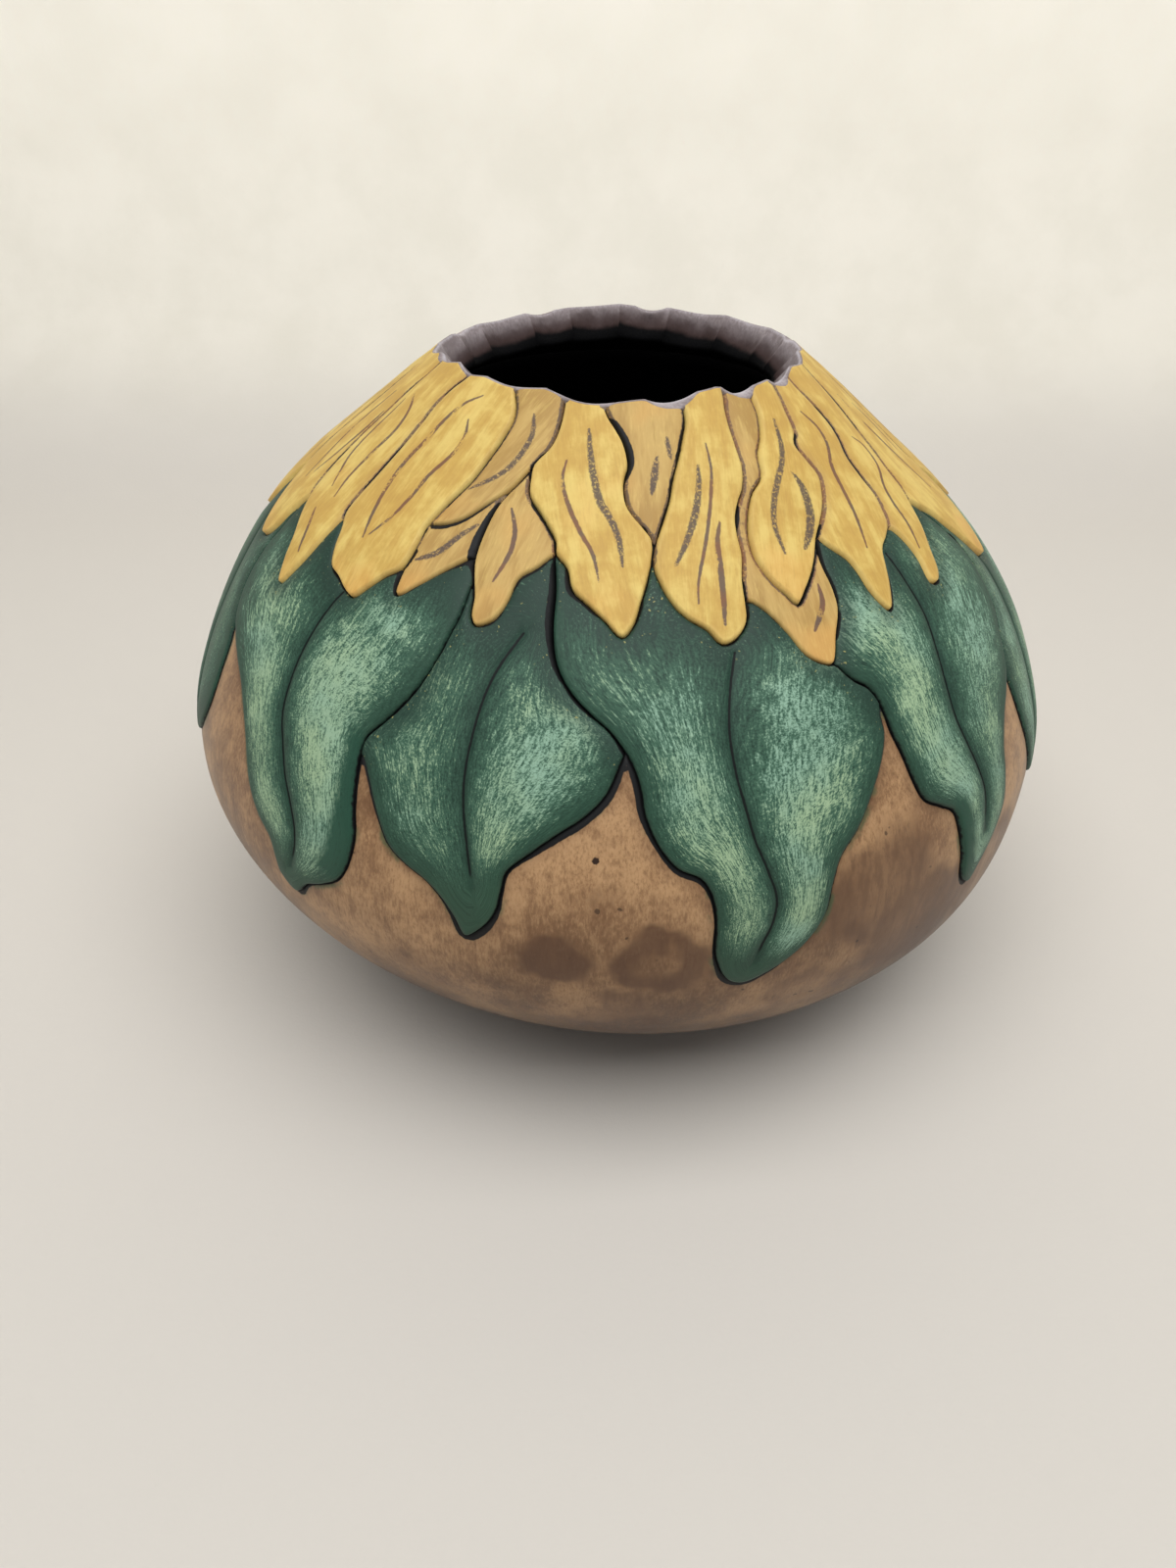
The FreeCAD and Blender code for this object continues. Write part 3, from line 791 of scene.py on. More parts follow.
def make_piece(name, points, faces, fields, smooth=None, weld=0.0):
    """A mesh object at the origin, with its faces turned outwards."""
    mesh = bpy.data.meshes.new(name)
    mesh.from_pydata(points.tolist(), [], faces)
    mesh.polygons.foreach_set("use_smooth", smooth or [True] * len(faces))
    add_fields(mesh, fields)
    shape = bmesh.new()
    shape.from_mesh(mesh)
    if weld:
        bmesh.ops.remove_doubles(shape, verts=shape.verts, dist=weld)
    bmesh.ops.recalc_face_normals(shape, faces=shape.faces)
    open_edges = sum(1 for edge in shape.edges if len(edge.link_faces) != 2)
    shape.to_mesh(mesh)
    shape.free()
    piece = bpy.data.objects.new(name, mesh)
    bpy.context.collection.objects.link(piece)
    print(name, len(mesh.vertices), "vertices", len(mesh.polygons), "faces, open edges", open_edges)
    return piece


def closed_panel(name, places, triangles, proud, loop, lids, fields):
    """A closed piece from a panel's chart, with its heights above the wall."""
    edges = outer_edges(triangles)
    ring, every, below = underside(places, edges, loop, lids)
    count = len(places)
    low = {int(old): count + new for new, old in enumerate(ring)}
    skirt = [(int(b), int(a), low[int(a)], low[int(b)]) for a, b in edges]
    top, bottom = lifted(places, proud), lifted(every, skirt_proud)
    faces = triangles.tolist() + skirt + (below[:, ::-1] + count).tolist()
    smooth = [True] * len(triangles) + [False] * len(skirt) + [True] * len(below)
    longer = {key: np.concatenate([values, np.zeros(len(every))]) for key, values in fields.items()}
    return make_piece(name, np.vstack([top, bottom]), faces, longer, smooth)


# %% [markdown]
# ## Heights and fields of the carved layers
# The carver sinks a groove along each line and rounds the shell down to it, so every panel
# rises from the groove's floor to its full height within about half a millimetre. Beside a
# panel that lies over it, it dips earlier. Leaves swell between their midrib and their edge.
# In some places the knife went under the upper panel, which leaves a thicker black shadow.

# %% Sizes of the carving
groove_floor = -0.3
edge_round = 0.55
lid_round = 0.6
lid_dip = 0.25
lid_dip_reach = 3.0
leaf_level = 0.65
leaf_pillow = 0.35
rib_depth = 0.28
rib_round = 0.45
rib_end_share = 0.93
rib_fade_share = 0.07
petal_level = 1.05
petal_crisp = 1.8
low_petal_level = 0.7
mouth_level = 0.9
mouth_level_share = 0.955
mouth_ease = 1.3
petal_pillow = 0.12
pillow_reach = 4.0
wander_size = 14.0
wander_height = 0.14
ink_half_width = 0.3
undercut_shares = (
    (-5, .615, 8, .8), (3, .645, 8, .7), (8, .578, 5, .6), (14, .455, 7, 1.1),
    (-13.5, .506, 7, 1.0), (-38, .478, 5, .7), (46, .466, 5, .7),
    (-29.5, .62, 9, .3), (-20.5, .84, 7, .7), (-31.5, .84, 6, .5), (-16, .93, 6, .5),
    (2, .95, 8, .5), (22, .86, 6, .5), (-7, .79, 8, .5), (68.5, .75, 6, .5),
)


def rounded(gap, reach):
    """A quarter round from 0 at a line to 1 at a reach from it."""
    rest = 1 - np.clip(gap / reach, 0, 1)
    return np.sqrt(1 - rest * rest)


def lumps(points):
    """Blender's noise at each of some points, from about -1 to 1."""
    return np.array([noise.noise(Vector(point)) for point in points])


def wander(places):
    """A slow unevenness of the carved surface, from -1 to 1."""
    return lumps(lifted(places, 0.0) / (wander_size * mm))


def inked(places):
    """Half width in millimetres of the burnt line below an upper panel's edge."""
    width = np.full(len(places), ink_half_width)
    for azimuth, share, reach, extra in undercut_shares:
        for half in (0, 1):
            moved, level = freehand(azimuth + 180 * half, share)
            square = turned_from(places, moved) ** 2 + (places[:, 1] - rise_of(level)) ** 2
            width += extra * np.exp(-square * (radius_at(rise_of(level)) / reach) ** 2)
    return width


def swell(lobe):
    """A round rise from 0 at both sides of a lobe to 1 along its middle."""
    return np.clip(4 * lobe * (1 - lobe), 0, 1)


def level_between(level, free, under):
    """Heights that fall to the groove at a free edge and beside a lid."""
    height = level - lid_dip * (1 - eased(under / lid_dip_reach))
    rise = np.minimum(rounded(free, edge_round), rounded(under, lid_round))
    return groove_floor + (height - groove_floor) * rise


# %% Where a leaf is brushed pale: left, right, start and end along the midrib, then folds. The strengths are partly painted highlight and sheen, where the gourd's sides catch more light
light_shares = {
    1: (.65, .65, -.05, .95), 2: (.9, 1, -.06, .95), 3: (.7, .9, .06, .92),
    4: (.95, .92, -.04, .96), 5: (1, .85, -.1, 1.2), 6: (.9, .9, -.05, 1.05),
}
back_light_swap = 0.85
right_early = 0.1
light_bell = 0.75
fade_in_share = 0.26
fade_out_share = 0.24
fade_out_early = 0.1
tip_fade_share = 0.18
tip_early = 0.04
above_rib_share = -0.2
flat_leaves = (1, 6)
flatter = 0.3
fold_soft = 1.6
fold_shares = {
    2: (
        (-29.6, .66), (-31.1, .664), (-31.4, .62), (-31.6, .58), (-32.4, .545), (-33.5, .53),
        (-31, .522), (-29, .54), (-28.4, .568), (-29, .6), (-29.4, .63),
    ),
    5: (
        (41, .58), (42.2, .545), (43.1, .517), (44.2, .481), (45.5, .49), (45, .52), (44.3, .55),
        (43, .575),
    ),
}


# %% Distance fields of a leaf
def down_rib(places, rib_line, along):
    """Millimetres down the midrib, negative above it, and the midrib's own length."""
    steps = np.linalg.norm(np.diff(rib_line, axis=0), axis=1) * radius_at(rib_line[1:, 1])
    reached = np.concatenate([[0], np.cumsum(steps)])
    down = np.interp(along, np.arange(len(reached)), reached)
    above = (rib_line[0, 1] - places[:, 1]) * radius_at(places[:, 1])
    return np.where(along > 0, down, above), reached[-1]


def leaf_fields(panel, places, lids, rib_line):
    """Distances on a leaf, and how strongly its half lobes are brushed pale, partly as painted highlight.
    """
    free = gap_to(places, panel["loop"], closed=True)[0]
    under = lid_gap(places, lids)
    rib, along, side = gap_to(places, rib_line)
    down, rib_length = down_rib(places, rib_line, along)
    part = np.clip(down / rib_length, above_rib_share, 1)
    lobe = rib / (rib + free + tiny)
    left, right, start, end = light_shares[panel["half_number"]]
    if panel["half"]:
        left, right = right * back_light_swap, left
    strength = np.where(side > 0, right, left)
    begun = eased((part - start + right_early * (side > 0)) / fade_in_share)
    ended = eased((part - end + fade_out_early) / fade_out_share)
    fold = np.zeros(len(places))
    if panel["half_number"] in fold_shares:
        strip = smooth_line(fold_shares[panel["half_number"]], panel["half"], closed=True)
        depth = gap_to(places, strip, closed=True)[0]
        fold = eased(0.5 + np.where(in_loop(places, strip), depth, -depth) / fold_soft)
    return {
        "free": free,
        "under": under,
        "ink": inked(places),
        "rib": rib,
        "rib_part": part,
        "lobe": lobe * side,
        "down": down,
        "light": strength * swell(lobe) ** light_bell * (begun * (1 - ended)),
        "tip": eased((part - end + tip_early) / tip_fade_share),
        "fold": fold,
    }


# %% Carve the leaves
def rank_lids(panel, ring, more):
    """The loops that lie over a panel: those earlier in its ring, and others."""
    above = [other["loop"] for other in ring if other["rank"] < panel["rank"]]
    return lids_of(panel["loop"], above + more)


leaf_pieces = []
for leaf in leaves:
    lids = rank_lids(leaf, leaves, [petal["loop"] for petal in petals])
    rib_line = smooth_line(leaf_rib_shares[leaf["half_number"]], leaf["half"])
    places, triangles = panel_chart(leaf["loop"], lids, [rib_line])
    fields = leaf_fields(leaf, places, lids, rib_line)
    level = leaf_level + leaf_pillow * swell(np.abs(fields["lobe"])) + wander_height * wander(places)
    level -= flatter * (leaf["half_number"] in flat_leaves)
    proud = level_between(level, fields["free"], fields["under"])
    rib_there = 1 - eased((fields["rib_part"] - rib_end_share) / rib_fade_share)
    proud -= rib_depth * rib_there * np.exp(-((fields["rib"] / rib_round) ** 2))
    name = f"leaf_{leaf['number']:02d}"
    piece = closed_panel(f"painted_{name}", places, triangles, proud, leaf["loop"], lids, fields)
    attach(piece, "root")
    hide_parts(name)
    leaf_pieces.append(piece)


# %% Distance fields of a petal
stroke_taper = 0.35
stroke_end_share = 0.02
drawn_press = 1.0
stippled_press = 1.3
tip_reach = 14.0
kind_step = 0.37
mouth_overlap = 0.05
mouth_top_margin = 0.005


def petal_fields(panel, places, lids, strokes):
    """Distances on a petal, and its place along and across the brush's path."""
    loop = panel["loop"]
    share = share_of(places[:, 1])
    tip_place = loop[loop[:, 1].argmin()]
    top = loop[loop[:, 1] > rise_of(petal_end_share(0))]
    top_middle = top[:, 0].mean() if len(top) else loop[:, 0].mean()
    part = (places[:, 1] - tip_place[1]) / (rise_of(1.0) - tip_place[1])
    axis = tip_place[0] + (top_middle - tip_place[0]) * part
    stroke = np.full(len(places), far_gap)
    stipple = np.zeros(len(places))
    for half_width, stippled, line in strokes:
        gap, along, _ = gap_to(places, line)
        reached = np.clip(along / (len(line) - 1), stroke_end_share, 1 - stroke_end_share)
        taper = np.sin(math.pi * reached) ** stroke_taper
        press = stippled_press if stippled else drawn_press
        edge = gap - press * half_width * taper
        stipple = np.where(edge < stroke, float(stippled), stipple)
        stroke = np.minimum(stroke, edge)
    tip_gap = np.linalg.norm(places - tip_place, axis=1) * radius_at(places[:, 1])
    return {
        "free": gap_to(places, loop, closed=True)[0],
        "under": lid_gap(places, lids),
        "ink": inked(places),
        "across": (places[:, 0] - axis) * radius_at(places[:, 1]),
        "down": (1 - share) * wall_length,
        "tip": 1 - eased(tip_gap / tip_reach),
        "stroke": stroke,
        "stipple": stipple,
        "shade": np.full(len(places), float(panel["half_number"] in ochre_petals)),
        "kind": np.full(len(places), panel["number"] * kind_step % 1),
    }


def rim_lid(loop):
    """The loop above the line where the petals end, over the azimuths of one petal."""
    left, right = loop[:, 0].min() - mouth_overlap, loop[:, 0].max() + mouth_overlap
    across = np.arange(left, right, line_step / mouth_radius)
    line = np.stack([across, rise_of(petal_end_share(np.degrees(across)))], axis=1)
    top = rise_of(past_mouth_share - mouth_top_margin)
    return np.vstack([line, (across[-1], top), (across[0], top)])


# %% Carve the petals
petal_pieces = []
for petal in petals:
    lids = rank_lids(petal, petals, [])
    mouth = rim_lid(petal["loop"])
    strokes = [
        (half_width, stippled, smooth_line(points, petal["half"]))
        for half_width, stippled, *points in petal_stroke_shares[petal["half_number"]]
    ]
    every_lid = lids + [mouth]
    places, triangles = panel_chart(petal["loop"], every_lid, [line for _, _, line in strokes])
    fields = petal_fields(petal, places, lids, strokes)
    low = petal["half_number"] in ochre_petals
    level = (low_petal_level if low else petal_level) + wander_height * wander(places)
    level += petal_pillow * (eased(fields["free"] / pillow_reach) - 0.5)
    near_mouth = (share_of(places[:, 1]) - mouth_level_share) / (1 - mouth_level_share)
    level += (mouth_level - level) * eased(near_mouth * mouth_ease)
    proud = level_between(level, fields["free"] * petal_crisp, fields["under"] * petal_crisp)
    name = f"petal_{petal['number']:02d}"
    piece = closed_panel(f"painted_{name}", places, triangles, proud, petal["loop"], every_lid, fields)
    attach(piece, "root")
    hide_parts(name)
    petal_pieces.append(piece)

# %% [markdown]
# ## The bare gourd
# Below the leaves the gourd's own skin shows. It has to meet the leaves' outlines exactly, so
# the belly is triangulated on the chart like a panel, once round, with the leaves' outlines as
# fixed edges. Under the panels it sinks out of sight and gets coarse. The plain lower part,
# the foot and the inside are rings of quads, welded to it.

# %% The belly, with the leaves' outlines cut into it
belly_low_share = 0.4
low_columns = 480
high_columns = 240
seam_margin = 0.004
hidden_step = 5.0
hidden_proud = -0.9
skin_edge_round = 0.9
low_row_step = 1.6
leaf_cover_share = 0.8
skin_hide_row = 0.5
skin_rows = (0.35, 0.8, 1.5)
rim_share = 1 - rim_height / wall_length
leaf_loops = [leaf["loop"] + turn for leaf in leaves for turn in ((0, 0), (-2 * math.pi, 0))]
leaf_loops = [loop for loop in leaf_loops if loop[:, 0].max() > -math.pi and loop[:, 0].min() < math.pi]


def under_leaves(places):
    """Whether chart places lie under some leaf."""
    flags = np.zeros(len(places), bool)
    for loop in leaf_loops:
        low, high = loop.min(axis=0), loop.max(axis=0)
        near = ((places > low) & (places < high)).all(axis=1) & ~flags
        flags[near] = in_loop(places[near], loop)
    flags |= places[:, 1] > rise_of(leaf_cover_share)
    return flags


def leaf_gap(places):
    """Millimetres outwards from the leaves' common outline, negative under them."""
    gap = lid_gap(places, leaf_loops)
    return np.where(under_leaves(places), -gap, gap)


def ring_row(share, columns):
    """Chart places round the gourd at one share, with both ends on the seam."""
    across = np.linspace(-math.pi, math.pi, columns + 1)
    return np.stack([across, np.full(columns + 1, float(rise_of(share)))], axis=1)


def off_seam(places):
    """Whether chart places keep clear of the seam at the back."""
    return np.abs(places[:, 0]) < math.pi - seam_margin


def belly_chart():
    """Chart places and triangles of the belly from the plain part up to the rim."""
    low_row = ring_row(belly_low_share, low_columns)
    high_row = ring_row(rim_share, high_columns)
    count = round((rim_share - belly_low_share) * wall_length / grid_step)
    seam_rises = rise_of(np.linspace(belly_low_share, rim_share, count + 1)[1:-1])
    seams = [np.stack([np.full(count - 1, side), seam_rises], axis=1) for side in (-math.pi, math.pi)]
    border = np.vstack([low_row, seams[1], high_row[::-1], seams[0][::-1]])
    links = [(i, (i + 1) % len(border)) for i in range(len(border))]
    places = [border]
    for loop in leaf_loops:
        seen = off_seam(loop) & (loop[:, 1] < rise_of(leaf_cover_share))
        for other in leaf_loops:
            if other is not loop:
                seen[seen] = ~in_loop(loop[seen], other)
        flags = widened(seen) & off_seam(loop)
        links.extend(chained(flags, sum(len(row) for row in places), True))
        places.append(loop[flags])
        for distance in (-skin_hide_row,) + skin_rows:
            row = beside(loop, -leftwards(loop) * distance, closed=True)[seen]
            row = row[off_seam(row)]
            gap = leaf_gap(row) * np.sign(distance)
            places.append(row[gap > row_slack * abs(distance)])
    low, high = border.min(axis=0), border.max(axis=0)
    inner = border.copy()
    inner[:, 0] *= 1 - seam_margin
    fine = wall_grid(inner, grid_step)
    fine = fine[(fine[:, 1] > low[1] + seam_margin) & (leaf_gap(fine) > skin_rows[-1] + grid_step / 2)]
    coarse = wall_grid(inner, hidden_step)
    coarse = coarse[(coarse[:, 1] > low[1] + seam_margin) & (coarse[:, 1] < high[1] - seam_margin)]
    coarse = coarse[leaf_gap(coarse) < -hidden_step / 2]
    return triangulate(np.vstack(places + [fine, coarse]), links)


belly_places, belly_triangles = belly_chart()
print("belly", len(belly_places), "places")

# %% Marks on the skin: azimuth, share, half width in millimetres, ring or spot, strength
mark_shares = (
    (-5.4, .484, 5.8, 0.25, 1.0), (4.7, .486, 7.8, 1.0, 1.1), (0.2, .39, 9, 0.3, .6),
    (-22, .44, 7, 0.5, .35), (37, .455, 13, 0.1, 1.0), (31, .515, 13, 0.1, .85),
    (-38, .42, 9, 0.4, .4), (-58, .47, 11, 0.3, .25), (52, .45, 13, 0.3, .9), (47, .4, 10, 0.4, .6),
    (-1, .55, 3, 0.2, .35), (1.2, .43, 5.5, 0.2, .7), (22, .41, 9, 0.5, .6),
    (78, .44, 13, 0.6, .6), (-80, .43, 12, 0.5, .5), (100, .5, 12, 0.6, .8),
    (118, .43, 10, 0.4, .7), (137, .5, 9, 0.3, .6), (150, .41, 12, 0.7, .8), (168, .47, 10, 0.6, .9),
    (-172, .41, 9, 0.3, .6), (-160, .5, 12, 0.7, .9), (-141, .44, 9, 0.4, .6), (-122, .5, 12, 0.6, .8),
    (-103, .43, 9, 0.4, .6), (-20, .3, 14, 0.4, .5), (30, .28, 15, 0.5, .6), (95, .3, 14, 0.5, .6),
    (155, .28, 13, 0.4, .6), (-140, .29, 15, 0.5, .6), (-80, .28, 13, 0.4, .5),
)
mark_rags = ((13.0, 2.6), (5.0, 1.6), (2.2, 1.0))
mark_edge_share = 0.72
mark_core_share = 0.25
mark_fade_share = 0.5
core_paling = 0.8
dot_shares = ((-1.5, .59, 0.75), (12, .44, 0.3), (28.6, .508, 0.35), (-17, .43, 0.3), (171, .53, 0.6))


def skin_fields(places, gap):
    """The skin's distance to the leaves and the marks that mould and storage left on it."""
    mark = np.zeros(len(places))
    dot = np.full(len(places), far_gap)
    points = lifted(places, 0.0) / mm
    ragged = np.zeros(len(places))
    for size, height in mark_rags:
        ragged += height * lumps(points / size)
    for azimuth, share, size, hollow, strength in mark_shares:
        away = (mark_away(places, azimuth, share) + ragged) / size
        edge = 1 - eased((away - mark_edge_share) / mark_fade_share)
        core = hollow * (1 - eased((away - mark_core_share) / mark_fade_share))
        mark = np.maximum(mark, strength * edge * (1 - core * core_paling))
    for azimuth, share, size in dot_shares:
        dot = np.minimum(dot, mark_away(places, azimuth, share) - size)
    level = share_of(places[:, 1])
    return {"under": gap, "ink": inked(places), "mark": mark, "dot": dot, "level": level}


def plain_fields(count, level):
    """Skin fields far from any leaf or mark."""
    values = {"under": far_gap, "ink": 0.0, "mark": 0.0, "dot": far_gap, "level": level}
    return {key: np.full(count, value) for key, value in values.items()}


def mark_away(places, azimuth, share):
    """Millimetres from chart places to a place on the skin."""
    across, up = turned_from(places, azimuth), places[:, 1] - rise_of(share)
    return np.hypot(across, up) * radius_at(places[:, 1])


# %% Rings of quads for the plain parts
def once_round(columns):
    """Azimuths in radians, an even step apart from the seam at the back."""
    return np.linspace(-math.pi, math.pi, columns + 1)[:-1]


def ring_quads(rows, columns, closed=False):
    """Quads between rows of points that each run once round, the last to the first if closed."""
    faces = []
    for row in range(rows if closed else rows - 1):
        low, high = row * columns, (row + 1) % rows * columns
        for column in range(columns):
            after = (column + 1) % columns
            faces.append((low + column, low + after, high + after, high + column))
    return faces


def ring_places(shares, columns):
    """Chart places of rings round the gourd at some shares."""
    return np.stack(np.meshgrid(once_round(columns), rise_of(shares)), axis=-1).reshape(-1, 2)


def sleeve(shares, proud, columns):
    """Points and faces of a sheet round the gourd, at one height above the wall."""
    return lifted(ring_places(shares, columns), proud), ring_quads(len(shares), columns)


def strip(share, prouds, columns):
    """Points and faces of a strip that joins two such sheets at a share."""
    points = [on_gourd(once_round(columns), share, proud) for proud in prouds]
    return np.vstack(points), ring_quads(len(prouds), columns)


def disc(radii, heights, columns):
    """Points and faces of a round sheet about the axis, from its edge to its middle."""
    across = once_round(columns)
    points = []
    for radius, height in zip(radii, heights):
        side = radius * np.sin(across) + lean(height)
        points.append(np.stack([side, -radius * np.cos(across), np.full(columns, height)], axis=1))
    points.append(np.array([[float(lean(heights[-1])), 0.0, heights[-1]]]))
    faces = ring_quads(len(radii), columns)
    last, middle = (len(radii) - 1) * columns, len(radii) * columns
    faces.extend((last + i, last + (i + 1) % columns, middle) for i in range(columns))
    return np.vstack(points) * mm, faces


def joined(parts):
    """One list of points, faces and fields out of several parts."""
    points, faces, fields = [], [], {}
    count = 0
    for part_points, part_faces, part_fields in parts:
        points.append(part_points)
        faces.extend(tuple(int(i) + count for i in face) for face in part_faces)
        for key, values in part_fields.items():
            fields.setdefault(key, []).append(values)
        count += len(part_points)
    return np.vstack(points), faces, {key: np.concatenate(values) for key, values in fields.items()}


# %% Build the shell
weld_gap = 2e-6
foot_dish = 0.8
foot_rings = 14
foot_hole_share = 0.08
foot_dish_share = 0.7
inner_row_step = 5.0


def shares_up_to(share, row_step):
    """Shares of rows about a step apart, from the foot up."""
    return np.linspace(0, share, round(share * wall_length / row_step))


def belly_heights(gap):
    """The skin's height above the wall: a round edge at the leaves, and out of sight under them."""
    open_skin = groove_floor * (1 - rounded(gap, skin_edge_round))
    sunk = groove_floor + (hidden_proud - groove_floor) * np.clip(-gap / skin_hide_row, 0, 1)
    return np.where(gap < 0, sunk, open_skin)


belly_gap = leaf_gap(belly_places)
belly_points = lifted(belly_places, belly_heights(belly_gap))
low_places = ring_places(shares_up_to(belly_low_share, low_row_step), low_columns)
low_faces = ring_quads(len(low_places) // low_columns, low_columns)
foot_radii = foot_radius * np.linspace(1, foot_hole_share, foot_rings)
foot_heights = foot_dish * (1 - eased(foot_radii / foot_radius / foot_dish_share))
plain_parts = [
    (disc(foot_radii, foot_heights, low_columns), 0.0),
    (sleeve(shares_up_to(rim_share, inner_row_step), -wall_thickness, high_columns), 0.0),
    (disc([foot_radius], [wall_thickness], high_columns), 0.0),
    (strip(rim_share, (hidden_proud, -wall_thickness), high_columns), 1.0),
]
shell_parts = [
    (belly_points, belly_triangles, skin_fields(belly_places, belly_gap)),
    (lifted(low_places, 0.0), low_faces, skin_fields(low_places, leaf_gap(low_places))),
]
shell_parts += [(points, faces, plain_fields(len(points), level)) for (points, faces), level in plain_parts]
shell = make_piece("gourd_shell", *joined(shell_parts), weld=weld_gap)
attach(shell, "root")
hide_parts("lower_shell", "upper_shell")

# %% [markdown]
# ## The rim and the coat inside
# The rim is one ring whose section changes as it goes round: the cut face sinks by the depth
# of the scoop there. A column of the mesh stands exactly on each ridge, so the ridges stay
# sharp. Cutting it with cylinders would do the same, but leaves long thin triangles.
# A row of lip_rows says how far in from the crown a point is, how much a bite adds to that,
# how far down it is, how much a bite adds to that, and how worn it is. A row of inner_rows
# says how far off the inside a point is, how far down, and how worn.

# %% Section of the rim, from the outside over the lip and the cut to the inside
columns_per_scoop = 36
crown_proud = 0.9
hidden_lip = -0.5
cut_hollow = 0.9
ridge_width = 0.1
inner_deepening = 0.5
lump_step = 7.3
lump_row = (2.1, 0.4)
lip_inset = 0.25
lip_drop = 0.3
lip_wears = (0.1, 0.3)
lip_rows = ((0.1, 0.25, 0.12, 0.55, 0.55), (0.3, 0.6, 0.0, 0.1, 1.0), (0.9, 0.6, 0.02, 0.0, 0.5))
outer_cut = 0.9
past_middle = 1.6
hollow_shares = (0.12, 1.0, 0.8)
cut_wears = (0.35, 0.3, 0.25)
inner_rows = ((0.4, 0.2, 0.1), (-0.1, 0.8, 0.0), (0.0, 1.8, 0.0))


def rim_columns():
    """Azimuths in degrees of the rim's columns, with one on each ridge."""
    pairs = zip(ridges[:-1], ridges[1:])
    return np.concatenate([np.linspace(*pair, columns_per_scoop + 1)[:-1] for pair in pairs])


def inner_sag(sag, index):
    """How far the cut sinks at the inside, where the gouge came out deeper or shallower."""
    uneven = lumps([(lump_step * i, *lump_row) for i in range(len(ridges))])[index]
    return sag * (1 + inner_deepening * uneven)


def rim_section(degrees):
    """Height above the wall, depth below the mouth, and wear of each point round the section."""
    index, place = scoop_place(degrees)
    sag, bite = scoop_sag(degrees), bite_depth(degrees)
    inner = inner_sag(sag, index)
    hollows = [cut_hollow * share * (1 - place**2) for share in hollow_shares]
    ridge = np.exp(-(((1 - np.abs(place)) / ridge_width) ** 2))
    plain = np.zeros(len(degrees))
    low = sag + bite + lip_width
    middle, inside = plain - wall_thickness / 2, plain - wall_thickness
    outer_wear, middle_wear, inner_wear = [wear * ridge for wear in cut_wears]
    rows = [
        (plain + hidden_lip, plain + rim_height, plain),
        (plain + hidden_lip, low + lip_width, plain),
        (plain + crown_proud - lip_inset, low + lip_drop, plain + lip_wears[0]),
        (plain + crown_proud, low, plain + lip_wears[1]),
    ]
    for inset, bite_inset, drop, bite_drop, wear in lip_rows:
        proud = crown_proud - inset - bite * bite_inset
        rows.append((proud, sag + bite * bite_drop + drop, plain + wear))
    rows += [
        (plain - outer_cut, sag + hollows[0], outer_wear),
        (middle, (sag + inner) / 2 + hollows[1], middle_wear),
        (middle - past_middle, inner + hollows[2], inner_wear),
    ]
    rows += [(inside + step, inner + drop, wear * ridge) for step, drop, wear in inner_rows]
    return rows + [(inside, plain + rim_height, plain)]


# %% Build the gouged rim
back_painted_shade = 0.34
facet_painted_shade = 0.05
back_wear_under_shade = 0.6
deepest = 1.2
degrees = rim_columns()
section = rim_section(degrees)
across = np.radians(degrees)
rim_points = [on_gourd(across, 1 - down / wall_length, proud) for proud, down, _ in section]
rim_faces = ring_quads(len(section), len(degrees), closed=True)
fronted = (1 + np.cos(across)) / 2
# Painted shade: the rim is darker towards the back, and each scoop is darker on one side and paler on the
# other, as light falls on the facets. The pale wear is kept weaker at the back for the same painted shade.
painted_rim_shade = back_painted_shade * (1 - fronted) ** 2 + facet_painted_shade * scoop_place(degrees)[1]
rim_width = crown_proud + wall_thickness
rim_depths_and_shade = [(crown_proud - proud) / rim_width + painted_rim_shade for proud, _, _ in section]
rim_wears_and_shade = [wear * (back_wear_under_shade + (1 - back_wear_under_shade) * fronted) for _, _, wear in section]
rim_fields = {
    "wear": np.concatenate(rim_wears_and_shade),
    "deep": np.clip(np.concatenate(rim_depths_and_shade), 0, deepest),
}
rim = make_piece("gouged_rim", np.vstack(rim_points), rim_faces, rim_fields)
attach(rim, "root")
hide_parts("carved_rim")

# %% Build the coat inside
coat_columns = 180
coat_share = 1 - coat_margin / wall_length
coat_prouds = (-wall_thickness - coat_thickness, -wall_thickness)
coat_shares = shares_up_to(coat_share, inner_row_step)
coat_parts = []
for proud in coat_prouds:
    coat_parts.append((*sleeve(coat_shares, proud, coat_columns), {}))
    coat_parts.append((*disc([foot_radius], [-proud], coat_columns), {}))
coat_parts.append((*strip(coat_share, coat_prouds, coat_columns), {}))
coat = make_piece("black_coat", *joined(coat_parts), weld=weld_gap)
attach(coat, "root")
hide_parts("inner_coat")

# %% [markdown]
# ## Shader maths
# A paint layer is easiest to think of as sums: this much pale where the brush went, less at
# the edge, none under a line. Blender wants a node for each sum, so one small class wraps a
# socket, and ordinary Python operators on it add the nodes.

